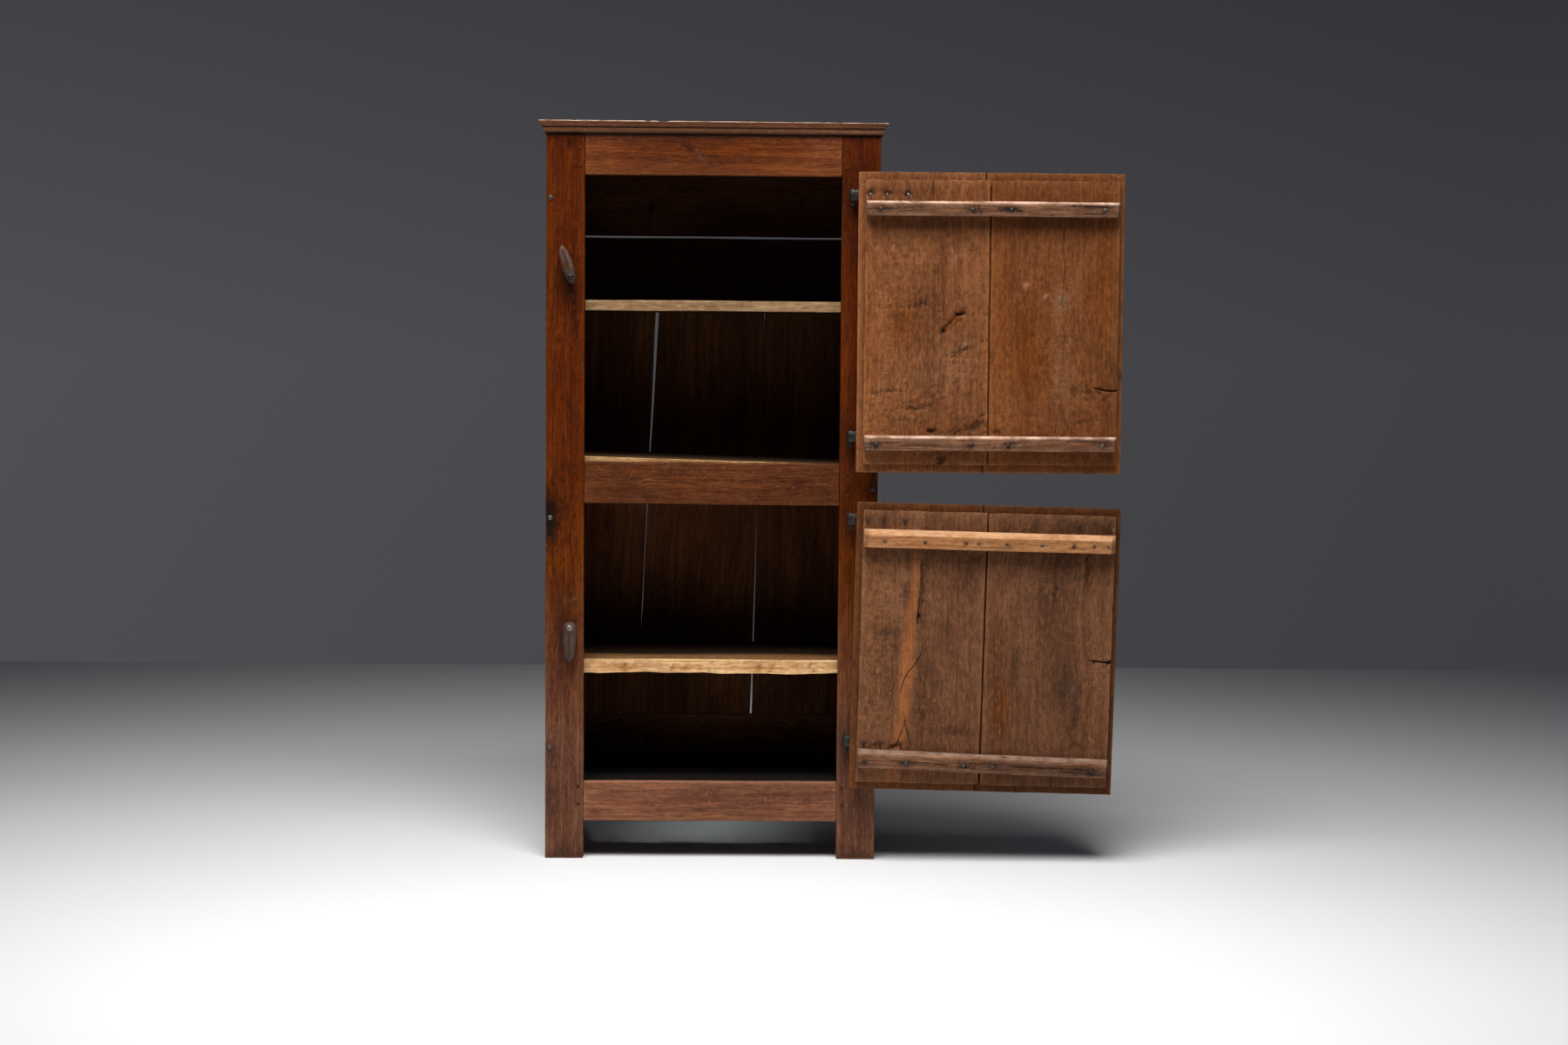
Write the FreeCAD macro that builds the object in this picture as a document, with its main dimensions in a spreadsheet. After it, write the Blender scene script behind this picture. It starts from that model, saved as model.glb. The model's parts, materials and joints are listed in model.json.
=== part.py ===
import FreeCAD, Part
import os
import re
import Sketcher

# A rustic two-door plank cupboard, in millimetres.
# X runs to the right, Y to the back, Z up. The origin is on the floor under the middle of the carcase.
# Both doors stand open, turned half a circle to the right about their hinge pins.

doc = FreeCAD.newDocument("cupboard")
sheet = doc.addObject("Spreadsheet::Sheet", "Sizes")

SIZES = [
    # Carcase
    ("carcase_width", 765.0),
    ("carcase_depth", 420.0),
    ("carcase_height", 1700.0),
    ("stile_width", 89.0),
    ("frame_thickness", 28.0),
    ("side_thickness", 22.0),
    ("top_thickness", 18.0),
    ("back_thickness", 20.0),
    # Rails of the face frame. The lower two stand at a height, and the top rail hangs from the top.
    ("bottom_rail_low", 88.0),
    ("bottom_rail_height", 95.0),
    ("middle_rail_low", 824.0),
    ("middle_rail_height", 96.0),
    ("top_rail_height", 104.0),
    # Joints of the face frame
    ("tenon_length", 48.0),
    ("tenon_thickness", 9.0),
    ("tenon_shoulder", 12.0),
    ("tenon_clearance", 0.2),
    ("peg_radius", 4.0),
    ("peg_clearance", 0.1),
    ("peg_proud", 0.8),
    ("top_peg_inset", 12.0),
    ("middle_peg_inset", 20.0),
    ("bottom_peg_inset", 12.0),
    ("top_peg_lower", 19.0),
    ("top_peg_upper", 61.0),
    ("middle_peg_lower", 24.0),
    ("middle_peg_upper", 76.0),
    ("bottom_peg_lower", 40.0),
    ("bottom_peg_upper", 80.0),
    # Dome nails through the stiles
    ("nail_radius", 2.2),
    ("nail_clearance", 0.1),
    ("hole_spare", 1.0),
    ("nail_head_radius", 6.0),
    ("nail_head_crown", 3.2),
    ("nail_head_height", 3.0),
    ("frame_nail_length", 62.0),
    ("low_nail_height", 260.0),
    ("left_nail_rise", -32.0),
    ("right_nail_rise", 39.0),
    ("high_nail_drop", 157.0),
    # Shelves. The upper one hangs below the top rail, and the others follow the rails in front of them.
    ("top_bay_height", 284.0),
    ("upper_shelf_thickness", 25.0),
    ("middle_shelf_rise", 10.0),
    ("middle_shelf_thickness", 24.0),
    ("lower_shelf_top", 463.0),
    ("lower_shelf_thickness", 34.0),
    ("bottom_board_drop", 5.0),
    ("bottom_board_thickness", 24.0),
    ("shelf_setback", 1.0),
    ("cleat_width", 20.0),
    ("cleat_height", 26.0),
    ("cleat_short", 30.0),
    # Back boards
    ("second_board_height", 169.5),
    ("back_gap", 3.5),
    ("back_rail_height", 132.0),
    ("back_rail_drop", 4.0),
    ("left_gap_low_x", -184.0),
    ("left_gap_high_x", -138.0),
    ("left_gap_low_width", 0.8),
    ("left_gap_high_width", 8.0),
    ("right_gap_low_x", 96.6),
    ("right_gap_high_x", 124.0),
    ("right_gap_low_width", 5.0),
    ("right_gap_high_width", 0.8),
    ("back_nail_length", 50.0),
    ("back_nail_edge", 34.0),
    # Cornice
    ("cornice_height", 28.0),
    ("cornice_overhang", 16.0),
    ("cornice_foot", 4.0),
    ("cornice_foot_height", 5.0),
    ("cornice_neck", 6.5),
    ("cornice_step_height", 12.5),
    ("cornice_step_out", 2.0),
    ("cornice_step_rise", 1.0),
    ("cornice_fillet", 4.0),
    ("cornice_cove_out", 4.0),
    ("cornice_cove_rise", 5.0),
    # Doors. Each lip laps over the frame, and the thicker field enters the opening.
    ("door_thickness", 24.0),
    ("lip_thickness", 11.0),
    ("lip_gap", 0.6),
    ("hinge_lap", 12.0),
    ("latch_lap", 8.0),
    ("hinge_field_gap", 3.0),
    ("latch_field_gap", 4.0),
    ("upper_top_lap", 10.0),
    ("upper_bottom_lap", 16.0),
    ("upper_top_gap", 8.0),
    ("upper_bottom_gap", 3.0),
    ("lower_top_lap", 13.0),
    ("lower_bottom_lap", 9.0),
    ("lower_top_gap", 4.0),
    ("lower_bottom_gap", 8.0),
    ("hinge_board_width", 300.0),
    ("half_lap", 10.0),
    # Battens
    ("batten_thickness", 25.0),
    ("batten_bevel_depth", 11.25),
    ("batten_hinge_inset", 1.0),
    ("batten_latch_inset", 2.0),
    ("upper_batten_height", 35.0),
    ("upper_batten_bevel", 8.0),
    ("upper_top_batten_drop", 66.0),
    ("upper_bottom_batten", 51.0),
    ("lower_batten_height", 42.0),
    ("lower_batten_bevel", 13.0),
    ("lower_top_batten_drop", 60.0),
    ("lower_bottom_batten", 54.0),
    ("lower_batten_slope", 1.1),
    ("batten_nail_radius", 1.8),
    ("batten_nail_length", 42.0),
    ("batten_head_radius", 4.5),
    ("batten_head_crown", 2.4),
    ("batten_head_height", 2.2),
    ("nail_line", 16.0),
    # Hinges
    ("pin_radius", 4.0),
    ("hinge_clearance", 0.2),
    ("strap_thickness", 4.5),
    ("strap_width", 25.0),
    ("strap_tip_width", 15.0),
    ("strap_length", 150.0),
    ("strap_shoulder", 37.5),
    ("strap_taper", 120.0),
    ("strap_point_width", 5.0),
    ("strap_lift", 0.3),
    ("pin_proud", 3.0),
    ("elbow_width", 7.0),
    ("elbow_height", 12.0),
    ("spike_depth", 22.0),
    ("upper_pin_gap", 12.0),
    ("upper_hinge_lean", 0.0),
    ("upper_high_hinge_drop", 53.0),
    ("upper_low_hinge", 81.0),
    ("lower_pin_gap", 7.0),
    ("lower_hinge_lean", 0.6),
    ("lower_high_hinge_drop", 42.0),
    ("lower_low_hinge", 106.0),
    ("strap_nail_first", 38.0),
    ("strap_nail_second", 76.0),
    ("strap_nail_third", 124.0),
    ("strap_nail_radius", 2.0),
    ("strap_head_radius", 5.0),
    ("strap_head_crown", 3.0),
    ("strap_head_height", 2.4),
    ("clench_length", 10.0),
    ("clench_width", 3.0),
    ("clench_height", 2.0),
    ("strap_bite", 14.0),
    # Turn buttons on the left stile
    ("button_thickness", 12.0),
    ("button_stand", 13.0),
    ("button_gap", 0.3),
    ("boss_radius", 12.0),
    ("pivot_radius", 2.5),
    ("pivot_clearance", 0.08),
    ("pivot_head_radius", 7.0),
    ("pivot_head_crown", 4.5),
    ("pivot_head_height", 3.5),
    ("pivot_depth", 20.0),
    ("button_inset", 31.0),
    ("upper_button_drop", 233.0),
    ("lower_button_drop", 284.0),
    ("upper_button_reach", 74.0),
    ("upper_button_tail", 18.0),
    ("upper_button_half", 15.0),
    ("upper_button_turn", 17.5),
    ("lower_button_reach", 80.0),
    ("lower_button_tail", 13.0),
    ("lower_button_half", 17.0),
]

# Cutting tools start this far outside the faces that they cut, in millimetres
OVERCUT = "2"

names = set()
for row, (alias, value) in enumerate(SIZES, start=1):
    sheet.set("A%d" % row, alias)
    sheet.set("B%d" % row, str(value))
    sheet.setAlias("B%d" % row, alias)
    names.add(alias)
doc.recompute()


def link(text):
    """An expression in which each size name points at its cell."""
    return re.sub(r"[a-z_]+", lambda m: "Sizes." + m.group() if m.group() in names else m.group(), text)


def bind(thing, prop, text):
    thing.setExpression(prop, link(text))


def place(thing, x, y, z):
    bind(thing, "Placement.Base.x", x)
    bind(thing, "Placement.Base.y", y)
    bind(thing, "Placement.Base.z", z)


def turn(thing, axis, angle):
    """Turns the object about its own origin, by an angle in degrees that may be an expression."""
    thing.Placement = FreeCAD.Placement(FreeCAD.Vector(), FreeCAD.Rotation(FreeCAD.Vector(*axis), 1.0))
    bind(thing, "Placement.Rotation.Angle", angle)


def box(name, size, at):
    thing = doc.addObject("Part::Box", name)
    thing.Label = name
    bind(thing, "Length", size[0])
    bind(thing, "Width", size[1])
    bind(thing, "Height", size[2])
    place(thing, *at)
    return thing


def rod(name, radius, height, at, axis=None, angle="0"):
    """A round bar that starts at a point and runs up, or along Y once it is turned."""
    thing = doc.addObject("Part::Cylinder", name)
    thing.Label = name
    bind(thing, "Radius", radius)
    bind(thing, "Height", height)
    if axis:
        turn(thing, axis, angle)
    place(thing, *at)
    return thing


def through(name, radius, height, at):
    """A round bar that runs backwards, along Y."""
    return rod(name, radius, height, at, (1, 0, 0), "-90")


def join(name, things):
    whole = doc.addObject("Part::MultiFuse", name)
    whole.Label = name
    whole.Shapes = things
    whole.Refine = True
    return whole


def cut(name, base, tools):
    tool = tools[0] if len(tools) == 1 else join(name + "_tools", tools)
    whole = doc.addObject("Part::Cut", name)
    whole.Label = name
    whole.Base = base
    whole.Tool = tool
    return whole


def group(name, things):
    whole = doc.addObject("Part::Compound", name)
    whole.Label = name
    whole.Links = things
    return whole


def padded(name, corners, length):
    """A body made of one outline in the XY plane, its corners placed by the sizes, raised along Z."""
    body = doc.addObject("PartDesign::Body", name)
    body.Label = name
    sketch = body.newObject("Sketcher::SketchObject", name + "_outline")
    sketch.AttachmentSupport = (body.Origin.OriginFeatures[3], [""])
    sketch.MapMode = "FlatFace"
    count = len(corners)
    spots = [FreeCAD.Vector(*value_of(corner)) for corner in corners]
    for i in range(count):
        sketch.addGeometry(Part.LineSegment(spots[i], spots[(i + 1) % count]), False)
    for i in range(count):
        sketch.addConstraint(Sketcher.Constraint("Coincident", i, 2, (i + 1) % count, 1))
    for i in range(count):
        for letter, kind in (("x", "DistanceX"), ("y", "DistanceY")):
            spot = spots[i].x if letter == "x" else spots[i].y
            number = sketch.addConstraint(Sketcher.Constraint(kind, -1, 1, i, 1, spot))
            sketch.renameConstraint(number, "corner%d%s" % (i, letter))
            bind(sketch, "Constraints.corner%d%s" % (i, letter), corners[i][0 if letter == "x" else 1])
    pad = body.newObject("PartDesign::Pad", name + "_pad")
    pad.Profile = sketch
    bind(pad, "Length", length)
    return body


def value_of(corner):
    """The corner's place with the present sizes, as a start for the sketch."""
    return [float(sheet.evalExpression(link(text))) for text in corner] + [0.0]


def nail(name, radius, length, head, crown, height, at, angle):
    """A nail whose head looks forward at an angle of 90 and backward at an angle of -90."""
    shank = rod(name + "_shank", radius, length, ("0", "0", "0 - (" + length + ")"))
    top = doc.addObject("Part::Cone", name + "_head")
    bind(top, "Radius1", head)
    bind(top, "Radius2", crown)
    bind(top, "Height", height)
    whole = join(name, [shank, top])
    turn(whole, (1, 0, 0), angle)
    place(whole, *at)
    return whole


# Places used again and again
half = "carcase_width / 2"
front = "0 - carcase_depth / 2"
frame_back = "frame_thickness - carcase_depth / 2"
back_face = "carcase_depth / 2 - back_thickness"
opening = "(carcase_width - 2 * stile_width)"
frame_height = "(carcase_height - top_thickness)"
edge = "(carcase_width / 2 - stile_width)"
inner_side = "(carcase_width / 2 - side_thickness)"
top_low = "(carcase_height - top_thickness - top_rail_height)"
NAIL_HEIGHTS = {
    "low": "low_nail_height",
    "left": "middle_rail_low + left_nail_rise",
    "right": "middle_rail_low + right_nail_rise",
    "high": "carcase_height - top_thickness - high_nail_drop",
}
BUTTON_HEIGHTS = {"upper": top_low + " - upper_button_drop", "lower": "middle_rail_low - lower_button_drop"}
SHELF_TOPS = {
    "upper": "(%s - top_bay_height)" % top_low,
    "middle": "(middle_rail_low + middle_rail_height + middle_shelf_rise)",
    "lower": "lower_shelf_top",
}
bottom_top = "(bottom_rail_low + bottom_rail_height - bottom_board_drop)"
# The upright back boards start on the back rail and end half way up the upper shelf's rear edge
back_rail_low = "(%s - bottom_board_thickness - back_rail_drop)" % bottom_top
upright_low = "(%s + back_rail_height)" % back_rail_low
upright_top = "(%s - upper_shelf_thickness / 2)" % SHELF_TOPS["upper"]
back_gap_low = "(%s + second_board_height)" % upright_top

# Hinge axes: a point on each axis at the lower edge of the door, and how far the axis stands forward
eye_radius = "(pin_radius + hinge_clearance + strap_thickness)"
axis_forward = "(lip_gap + lip_thickness + pin_radius + hinge_clearance + strap_thickness)"
axis_y = "0 - carcase_depth / 2 - " + axis_forward
DOORS = {
    "upper": {
        "x": "(carcase_width / 2 - stile_width + hinge_lap + upper_pin_gap)",
        "z": "(middle_rail_low + middle_rail_height - upper_bottom_lap)",
        "height": "(%s - middle_rail_low - middle_rail_height + upper_top_lap + upper_bottom_lap)" % top_low,
    },
    "lower": {
        "x": "(carcase_width / 2 - stile_width + hinge_lap + lower_pin_gap)",
        "z": "(bottom_rail_low + bottom_rail_height - lower_bottom_lap)",
        "height": "(middle_rail_low - bottom_rail_low - bottom_rail_height"
                  " + lower_top_lap + lower_bottom_lap)",
    },
}

HINGES = {}
for door in DOORS:
    HINGES[door, "high"] = "(%s - %s_high_hinge_drop)" % (DOORS[door]["height"], door)
    HINGES[door, "low"] = door + "_low_hinge"


def on_axis(door, height):
    """The point of a door's hinge axis at a distance up from the door's lower edge."""
    x = DOORS[door]["x"] + " + " + height + " * sin(" + door + "_hinge_lean)"
    z = DOORS[door]["z"] + " + " + height + " * cos(" + door + "_hinge_lean)"
    return x, axis_y, z


# Face frame
RAILS = {
    "top": (top_low, "top_rail_height"),
    "middle": ("middle_rail_low", "middle_rail_height"),
    "bottom": ("bottom_rail_low", "bottom_rail_height"),
}
peg_list = []
peg_holes = {"left": [], "right": []}
rail_holes = {"top": [], "middle": [], "bottom": []}
for rail in RAILS:
    for side, sign in (("left", "-1"), ("right", "1")):
        for spot in ("lower", "upper"):
            tag = "_".join((rail, side, spot))
            x = "%s * (%s + %s_peg_inset)" % (sign, edge, rail)
            z = "%s + %s_peg_%s" % (RAILS[rail][0], rail, spot)
            bar = through("peg_" + tag, "peg_radius", "frame_thickness + peg_proud",
                          (x, front + " - peg_proud", z))
            peg_list.append(bar)
            hole = through("peg_hole_" + tag, "peg_radius + peg_clearance",
                           "frame_thickness + 2 * " + OVERCUT, (x, front + " - " + OVERCUT, z))
            peg_holes[side].append(hole)
            rail_holes[rail].append(hole)
group("frame_pegs", peg_list)

for rail, (low, tall) in RAILS.items():
    pieces = [box("rail_%s_board" % rail, (opening, "frame_thickness", tall), ("0 - " + edge, front, low))]
    for side, x in (("left", "0 - %s - tenon_length" % edge), ("right", edge)):
        pieces.append(box(
            "rail_%s_tenon_%s" % (rail, side),
            ("tenon_length", "tenon_thickness", "%s - 2 * tenon_shoulder" % tall),
            (x, front + " + (frame_thickness - tenon_thickness) / 2", low + " + tenon_shoulder"),
        ))
    cut("rail_" + rail, join("rail_%s_blank" % rail, pieces), rail_holes[rail])

frame_nails = []
frame_nail_holes = {"left": [], "right": []}
for side, sign in (("left", "-1"), ("right", "1")):
    for level in ("low", side, "high"):
        x = sign + " * (carcase_width / 2 - side_thickness / 2)"
        z = NAIL_HEIGHTS[level]
        tag = side + "_" + ("mid" if level == side else level)
        frame_nails.append(nail("frame_nail_" + tag, "nail_radius", "frame_nail_length", "nail_head_radius",
                                "nail_head_crown", "nail_head_height", (x, front, z), "90"))
        frame_nail_holes[side].append(through(
            "frame_nail_hole_" + tag, "nail_radius + nail_clearance",
            "frame_nail_length + hole_spare + " + OVERCUT,
            (x, front + " - " + OVERCUT, z)))
group("frame_nails", frame_nails)

PINTLES = [("upper", "high"), ("upper", "low"), ("lower", "high"), ("lower", "low")]
spike_long = axis_forward + " + spike_depth"
elbow_low = "0 - strap_width / 2 - strap_lift - elbow_height"
spike_holes = []
for door, level in PINTLES:
    tag = door + "_" + level
    pin = rod("pin_" + tag, "pin_radius", "strap_width + strap_lift + elbow_height + pin_proud",
              ("0", "0", elbow_low))
    spike = box("spike_" + tag, ("elbow_width", spike_long, "elbow_height"),
                ("0 - elbow_width / 2", "0", elbow_low))
    pintle = join("pintle_" + tag, [pin, spike])
    turn(pintle, (0, 1, 0), door + "_hinge_lean")
    place(pintle, *on_axis(door, HINGES[door, level]))
    hole = box("spike_hole_block_" + tag,
               ("elbow_width + 2 * nail_clearance", spike_long + " + hole_spare",
                "elbow_height + 2 * nail_clearance"),
               ("0 - elbow_width / 2 - nail_clearance", "0", elbow_low + " - nail_clearance"))
    hole = group("spike_hole_" + tag, [hole])
    turn(hole, (0, 1, 0), door + "_hinge_lean")
    place(hole, *on_axis(door, HINGES[door, level]))
    spike_holes.append(hole)

pivot_holes = []
for level in ("upper", "lower"):
    x = "0 - %s - button_inset" % edge
    pivot_holes.append(through(
        "pivot_hole_" + level, "pivot_radius + nail_clearance", "pivot_depth + hole_spare + " + OVERCUT,
        (x, front + " - " + OVERCUT, BUTTON_HEIGHTS[level])))

for side, x, extra in (("left", "0 - " + half, pivot_holes), ("right", edge, spike_holes)):
    tools = list(peg_holes[side]) + frame_nail_holes[side] + extra
    for rail, (low, tall) in RAILS.items():
        start = "0 - %s - tenon_length - tenon_clearance" % edge if side == "left" else edge
        tools.append(box(
            "mortise_%s_%s" % (rail, side),
            ("tenon_length + tenon_clearance", "tenon_thickness + 2 * tenon_clearance",
             "%s - 2 * tenon_shoulder + 2 * tenon_clearance" % tall),
            (start, front + " + (frame_thickness - tenon_thickness) / 2 - tenon_clearance",
             low + " + tenon_shoulder - tenon_clearance"),
        ))
    blank = box("stile_%s_blank" % side, ("stile_width", "frame_thickness", frame_height), (x, front, "0"))
    cut("stile_" + side, blank, tools)

# Back nails, by the boards that they hold
UPRIGHTS = {
    "left": ("0 - carcase_width / 2 + side_thickness / 2", "left_gap_low_x - back_nail_edge"),
    "middle": ("left_gap_high_x + back_nail_edge", "right_gap_low_x - back_nail_edge"),
    "right": ("right_gap_high_x + back_nail_edge", "carcase_width / 2 - side_thickness / 2"),
}
LEVELS = {
    "top": (back_gap_low + " + back_gap", frame_height),
    "second": (upright_top, back_gap_low),
    "rail": (back_rail_low, upright_low),
}
back_nails = []
board_holes = {name: [] for name in ("top", "second", "rail", "left", "middle", "right")}
held_holes = {name: [] for name in ("side_left", "side_right", "middle", "lower")}


def back_nail(board, held, tag, x, z):
    back_nails.append(nail("back_nail_" + tag, "nail_radius", "back_nail_length", "nail_head_radius",
                           "nail_head_crown", "nail_head_height", (x, "carcase_depth / 2", z), "-90"))
    hole = through("back_hole_" + tag, "nail_radius + nail_clearance",
                   "back_nail_length + hole_spare + " + OVERCUT,
                   (x, "carcase_depth / 2 - back_nail_length - hole_spare", z))
    board_holes[board].append(hole)
    held_holes[held].append(hole)


for board, (low, high) in LEVELS.items():
    for side, sign in (("left", "-1"), ("right", "1")):
        x = sign + " * (carcase_width / 2 - side_thickness / 2)"
        back_nail(board, "side_" + side, "_".join((board, side, "low")), x, low + " + back_nail_edge")
        back_nail(board, "side_" + side, "_".join((board, side, "high")), x, high + " - back_nail_edge")
for board, spots in UPRIGHTS.items():
    for shelf in ("middle", "lower"):
        for number, x in enumerate(spots):
            outer = (board == "left" and number == 0) or (board == "right" and number == 1)
            held = "side_" + board if outer else shelf
            back_nail(board, held, "_".join((board, shelf, "first" if number == 0 else "second")), x,
                      "%s - %s_shelf_thickness / 2" % (SHELF_TOPS[shelf], shelf))
group("back_nails", back_nails)

for board, (low, high) in LEVELS.items():
    name = "back_rail_bottom" if board == "rail" else "back_board_" + board
    blank = box(name + "_blank", ("carcase_width", "back_thickness", "%s - (%s)" % (high, low)),
                ("0 - " + half, back_face, low))
    cut(name, blank, board_holes[board])

OUTLINES = {
    "left": (
        ("0 - carcase_width / 2", upright_low),
        ("left_gap_low_x - left_gap_low_width / 2", upright_low),
        ("left_gap_high_x - left_gap_high_width / 2", upright_top),
        ("0 - carcase_width / 2", upright_top),
    ),
    "middle": (
        ("left_gap_low_x + left_gap_low_width / 2", upright_low),
        ("right_gap_low_x - right_gap_low_width / 2", upright_low),
        ("right_gap_high_x - right_gap_high_width / 2", upright_top),
        ("left_gap_high_x + left_gap_high_width / 2", upright_top),
    ),
    "right": (
        ("right_gap_low_x + right_gap_low_width / 2", upright_low),
        ("carcase_width / 2", upright_low),
        ("carcase_width / 2", upright_top),
        ("right_gap_high_x + right_gap_high_width / 2", upright_top),
    ),
}
for board, corners in OUTLINES.items():
    body = padded("back_board_%s_plank" % board, corners, "back_thickness")
    turn(body, (1, 0, 0), "90")
    place(body, "0", "carcase_depth / 2", "0")
    cut("back_board_" + board, body, board_holes[board])

# Sides, two upright boards on each hand
side_depth = "(carcase_depth - frame_thickness - back_thickness) / 2"
for side, x in (("left", "0 - " + half), ("right", inner_side)):
    blank = box("side_%s_front_blank" % side, ("side_thickness", side_depth, frame_height),
                (x, frame_back, "0"))
    cut("side_%s_front" % side, blank, frame_nail_holes[side])
    blank = box("side_%s_rear_blank" % side, ("side_thickness", side_depth, frame_height),
                (x, frame_back + " + " + side_depth, "0"))
    cut("side_%s_rear" % side, blank, held_holes["side_" + side])

# Top boards
for part_name, y in (("front", front), ("rear", "0")):
    box("top_board_" + part_name, ("carcase_width", "carcase_depth / 2", "top_thickness"),
        ("0 - " + half, y, frame_height))

# Shelves, the bottom board and their cleats
shelf_depth = "carcase_depth - frame_thickness - back_thickness - 2 * shelf_setback"
shelf_y = frame_back + " + shelf_setback"
for shelf in ("upper", "middle", "lower"):
    size = ("2 * " + inner_side, shelf_depth, shelf + "_shelf_thickness")
    at = ("0 - " + inner_side, shelf_y, "%s - %s_shelf_thickness" % (SHELF_TOPS[shelf], shelf))
    if shelf == "upper":
        box("shelf_upper", size, at)
    else:
        cut("shelf_" + shelf, box("shelf_%s_blank" % shelf, size, at), held_holes[shelf])
box("bottom_board", ("2 * " + inner_side, shelf_depth, "bottom_board_thickness"),
    ("0 - " + inner_side, shelf_y, bottom_top + " - bottom_board_thickness"))
UNDERS = {
    "upper": SHELF_TOPS["upper"] + " - upper_shelf_thickness",
    "middle": SHELF_TOPS["middle"] + " - middle_shelf_thickness",
    "lower": SHELF_TOPS["lower"] + " - lower_shelf_thickness",
    "bottom": bottom_top + " - bottom_board_thickness",
}
for shelf, under in UNDERS.items():
    for side, x in (("left", "0 - " + inner_side), ("right", inner_side + " - cleat_width")):
        box("cleat_%s_%s" % (shelf, side), ("cleat_width", shelf_depth + " - cleat_short", "cleat_height"),
            (x, shelf_y + " + cleat_short / 2", under + " - cleat_height"))

# Cornice: one moulding across the front and a return along each side, mitred at the corners
PROFILE = (
    ("0", "0"),
    ("cornice_foot", "0"),
    ("cornice_neck", "cornice_foot_height"),
    ("cornice_neck", "cornice_step_height"),
    ("cornice_neck + cornice_step_out", "cornice_step_height + cornice_step_rise"),
    ("cornice_overhang - cornice_cove_out", "cornice_height - cornice_fillet - cornice_cove_rise"),
    ("cornice_overhang", "cornice_height - cornice_fillet"),
    ("cornice_overhang", "cornice_height"),
    ("0", "cornice_height"),
)
# Each bar runs past its corner, and a knife as wide as the moulding cuts the mitre there
run = "(cornice_overhang + 2 * %s)" % OVERCUT
knife_size = "4 * " + run
past_front = front + " - " + run
CORNICES = {
    # The bar's length, its turn about the upright in degrees, and the end that it starts from
    "front": ("carcase_width + 2 * " + run, -90.0, (half + " + " + run, front)),
    "right": ("carcase_depth + " + run, 0.0, (half, "carcase_depth / 2")),
    "left": ("carcase_depth + " + run, 180.0, ("0 - " + half, past_front)),
}
# The front bar loses what lies beside the mitre line, and a return loses what lies before it
KNIFE_TURNS = {
    ("front", "right"): -45.0,
    ("front", "left"): 135.0,
    ("right", "right"): -135.0,
    ("left", "left"): 225.0,
}
SIGNS = {"left": "-1", "right": "1"}
for name, (length, spin, (start_x, start_y)) in CORNICES.items():
    bar = padded("cornice_%s_bar" % name, PROFILE, length)
    # The outline is set upright, then turned so that it looks away from the carcase
    upright = FreeCAD.Rotation(FreeCAD.Vector(1, 0, 0), 90.0)
    bar.Placement.Rotation = FreeCAD.Rotation(FreeCAD.Vector(0, 0, 1), spin).multiply(upright)
    place(bar, start_x, start_y, "carcase_height - cornice_height")
    tools = []
    for (bar_name, side), knife_turn in KNIFE_TURNS.items():
        if bar_name == name:
            knife = box("mitre_%s_%s" % (name, side),
                        (knife_size, knife_size, "cornice_height + 2 * " + OVERCUT),
                        (SIGNS[side] + " * " + half, front, "carcase_height - cornice_height - " + OVERCUT))
            knife.Placement.Rotation = FreeCAD.Rotation(FreeCAD.Vector(0, 0, 1), knife_turn)
            tools.append(knife)
    cut("cornice_" + name, bar, tools)

# Turn buttons and the nails that they turn on
pivot_x = "0 - %s - button_inset" % edge
UPPER_OUTLINE = (
    ("0 - upper_button_half * 0.55", "0 - upper_button_tail"),
    ("upper_button_half * 0.6", "0 - upper_button_tail"),
    ("upper_button_half", "0 - upper_button_tail * 0.3"),
    ("upper_button_half", "upper_button_reach * 0.45"),
    ("upper_button_half * 0.75", "upper_button_reach * 0.85"),
    ("upper_button_half * 0.3", "upper_button_reach"),
    ("0 - upper_button_half * 0.55", "upper_button_reach * 0.97"),
    ("0 - upper_button_half * 0.9", "upper_button_reach * 0.6"),
    ("0 - upper_button_half", "0"),
)
LOWER_OUTLINE = (
    ("0 - lower_button_half * 0.6", "lower_button_tail"),
    ("0 - lower_button_half * 0.95", "0"),
    ("0 - lower_button_half", "0 - lower_button_reach * 0.4"),
    ("0 - lower_button_half * 0.85", "0 - lower_button_reach * 0.7"),
    ("0 - lower_button_half * 0.5", "0 - lower_button_reach * 0.97"),
    ("lower_button_half * 0.2", "0 - lower_button_reach"),
    ("lower_button_half * 0.6", "0 - lower_button_reach * 0.85"),
    ("lower_button_half * 0.85", "0 - lower_button_reach * 0.6"),
    ("lower_button_half * 0.95", "0"),
    ("lower_button_half * 0.6", "lower_button_tail"),
)
BUTTONS = (("upper", UPPER_OUTLINE, "0 - upper_button_turn"), ("lower", LOWER_OUTLINE, "0"))
for level, outline, lean in BUTTONS:
    arm = padded("button_%s_arm" % level, outline, "button_thickness")
    arm.Placement.Rotation = FreeCAD.Rotation(FreeCAD.Vector(1, 0, 0), 90.0)
    place(arm, "0", "0 - button_stand", "0")
    boss = rod("button_%s_boss" % level, "boss_radius", "button_stand - button_gap",
               ("0", "0 - button_gap", "0"), (1, 0, 0), "90")
    bore = through("button_%s_bore" % level, "pivot_radius + pivot_clearance",
                   "button_stand + button_thickness + 2 * " + OVERCUT,
                   ("0", "0 - button_stand - button_thickness - " + OVERCUT, "0"))
    button = cut("turn_button_" + level, join("button_%s_blank" % level, [arm, boss]), [bore])
    turn(button, (0, 1, 0), lean)
    place(button, pivot_x, front, BUTTON_HEIGHTS[level])
    nail("pivot_nail_" + level, "pivot_radius", "button_stand + button_thickness + button_gap + pivot_depth",
         "pivot_head_radius", "pivot_head_crown", "pivot_head_height",
         (pivot_x, front + " - button_stand - button_thickness - button_gap", BUTTON_HEIGHTS[level]), "90")

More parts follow.
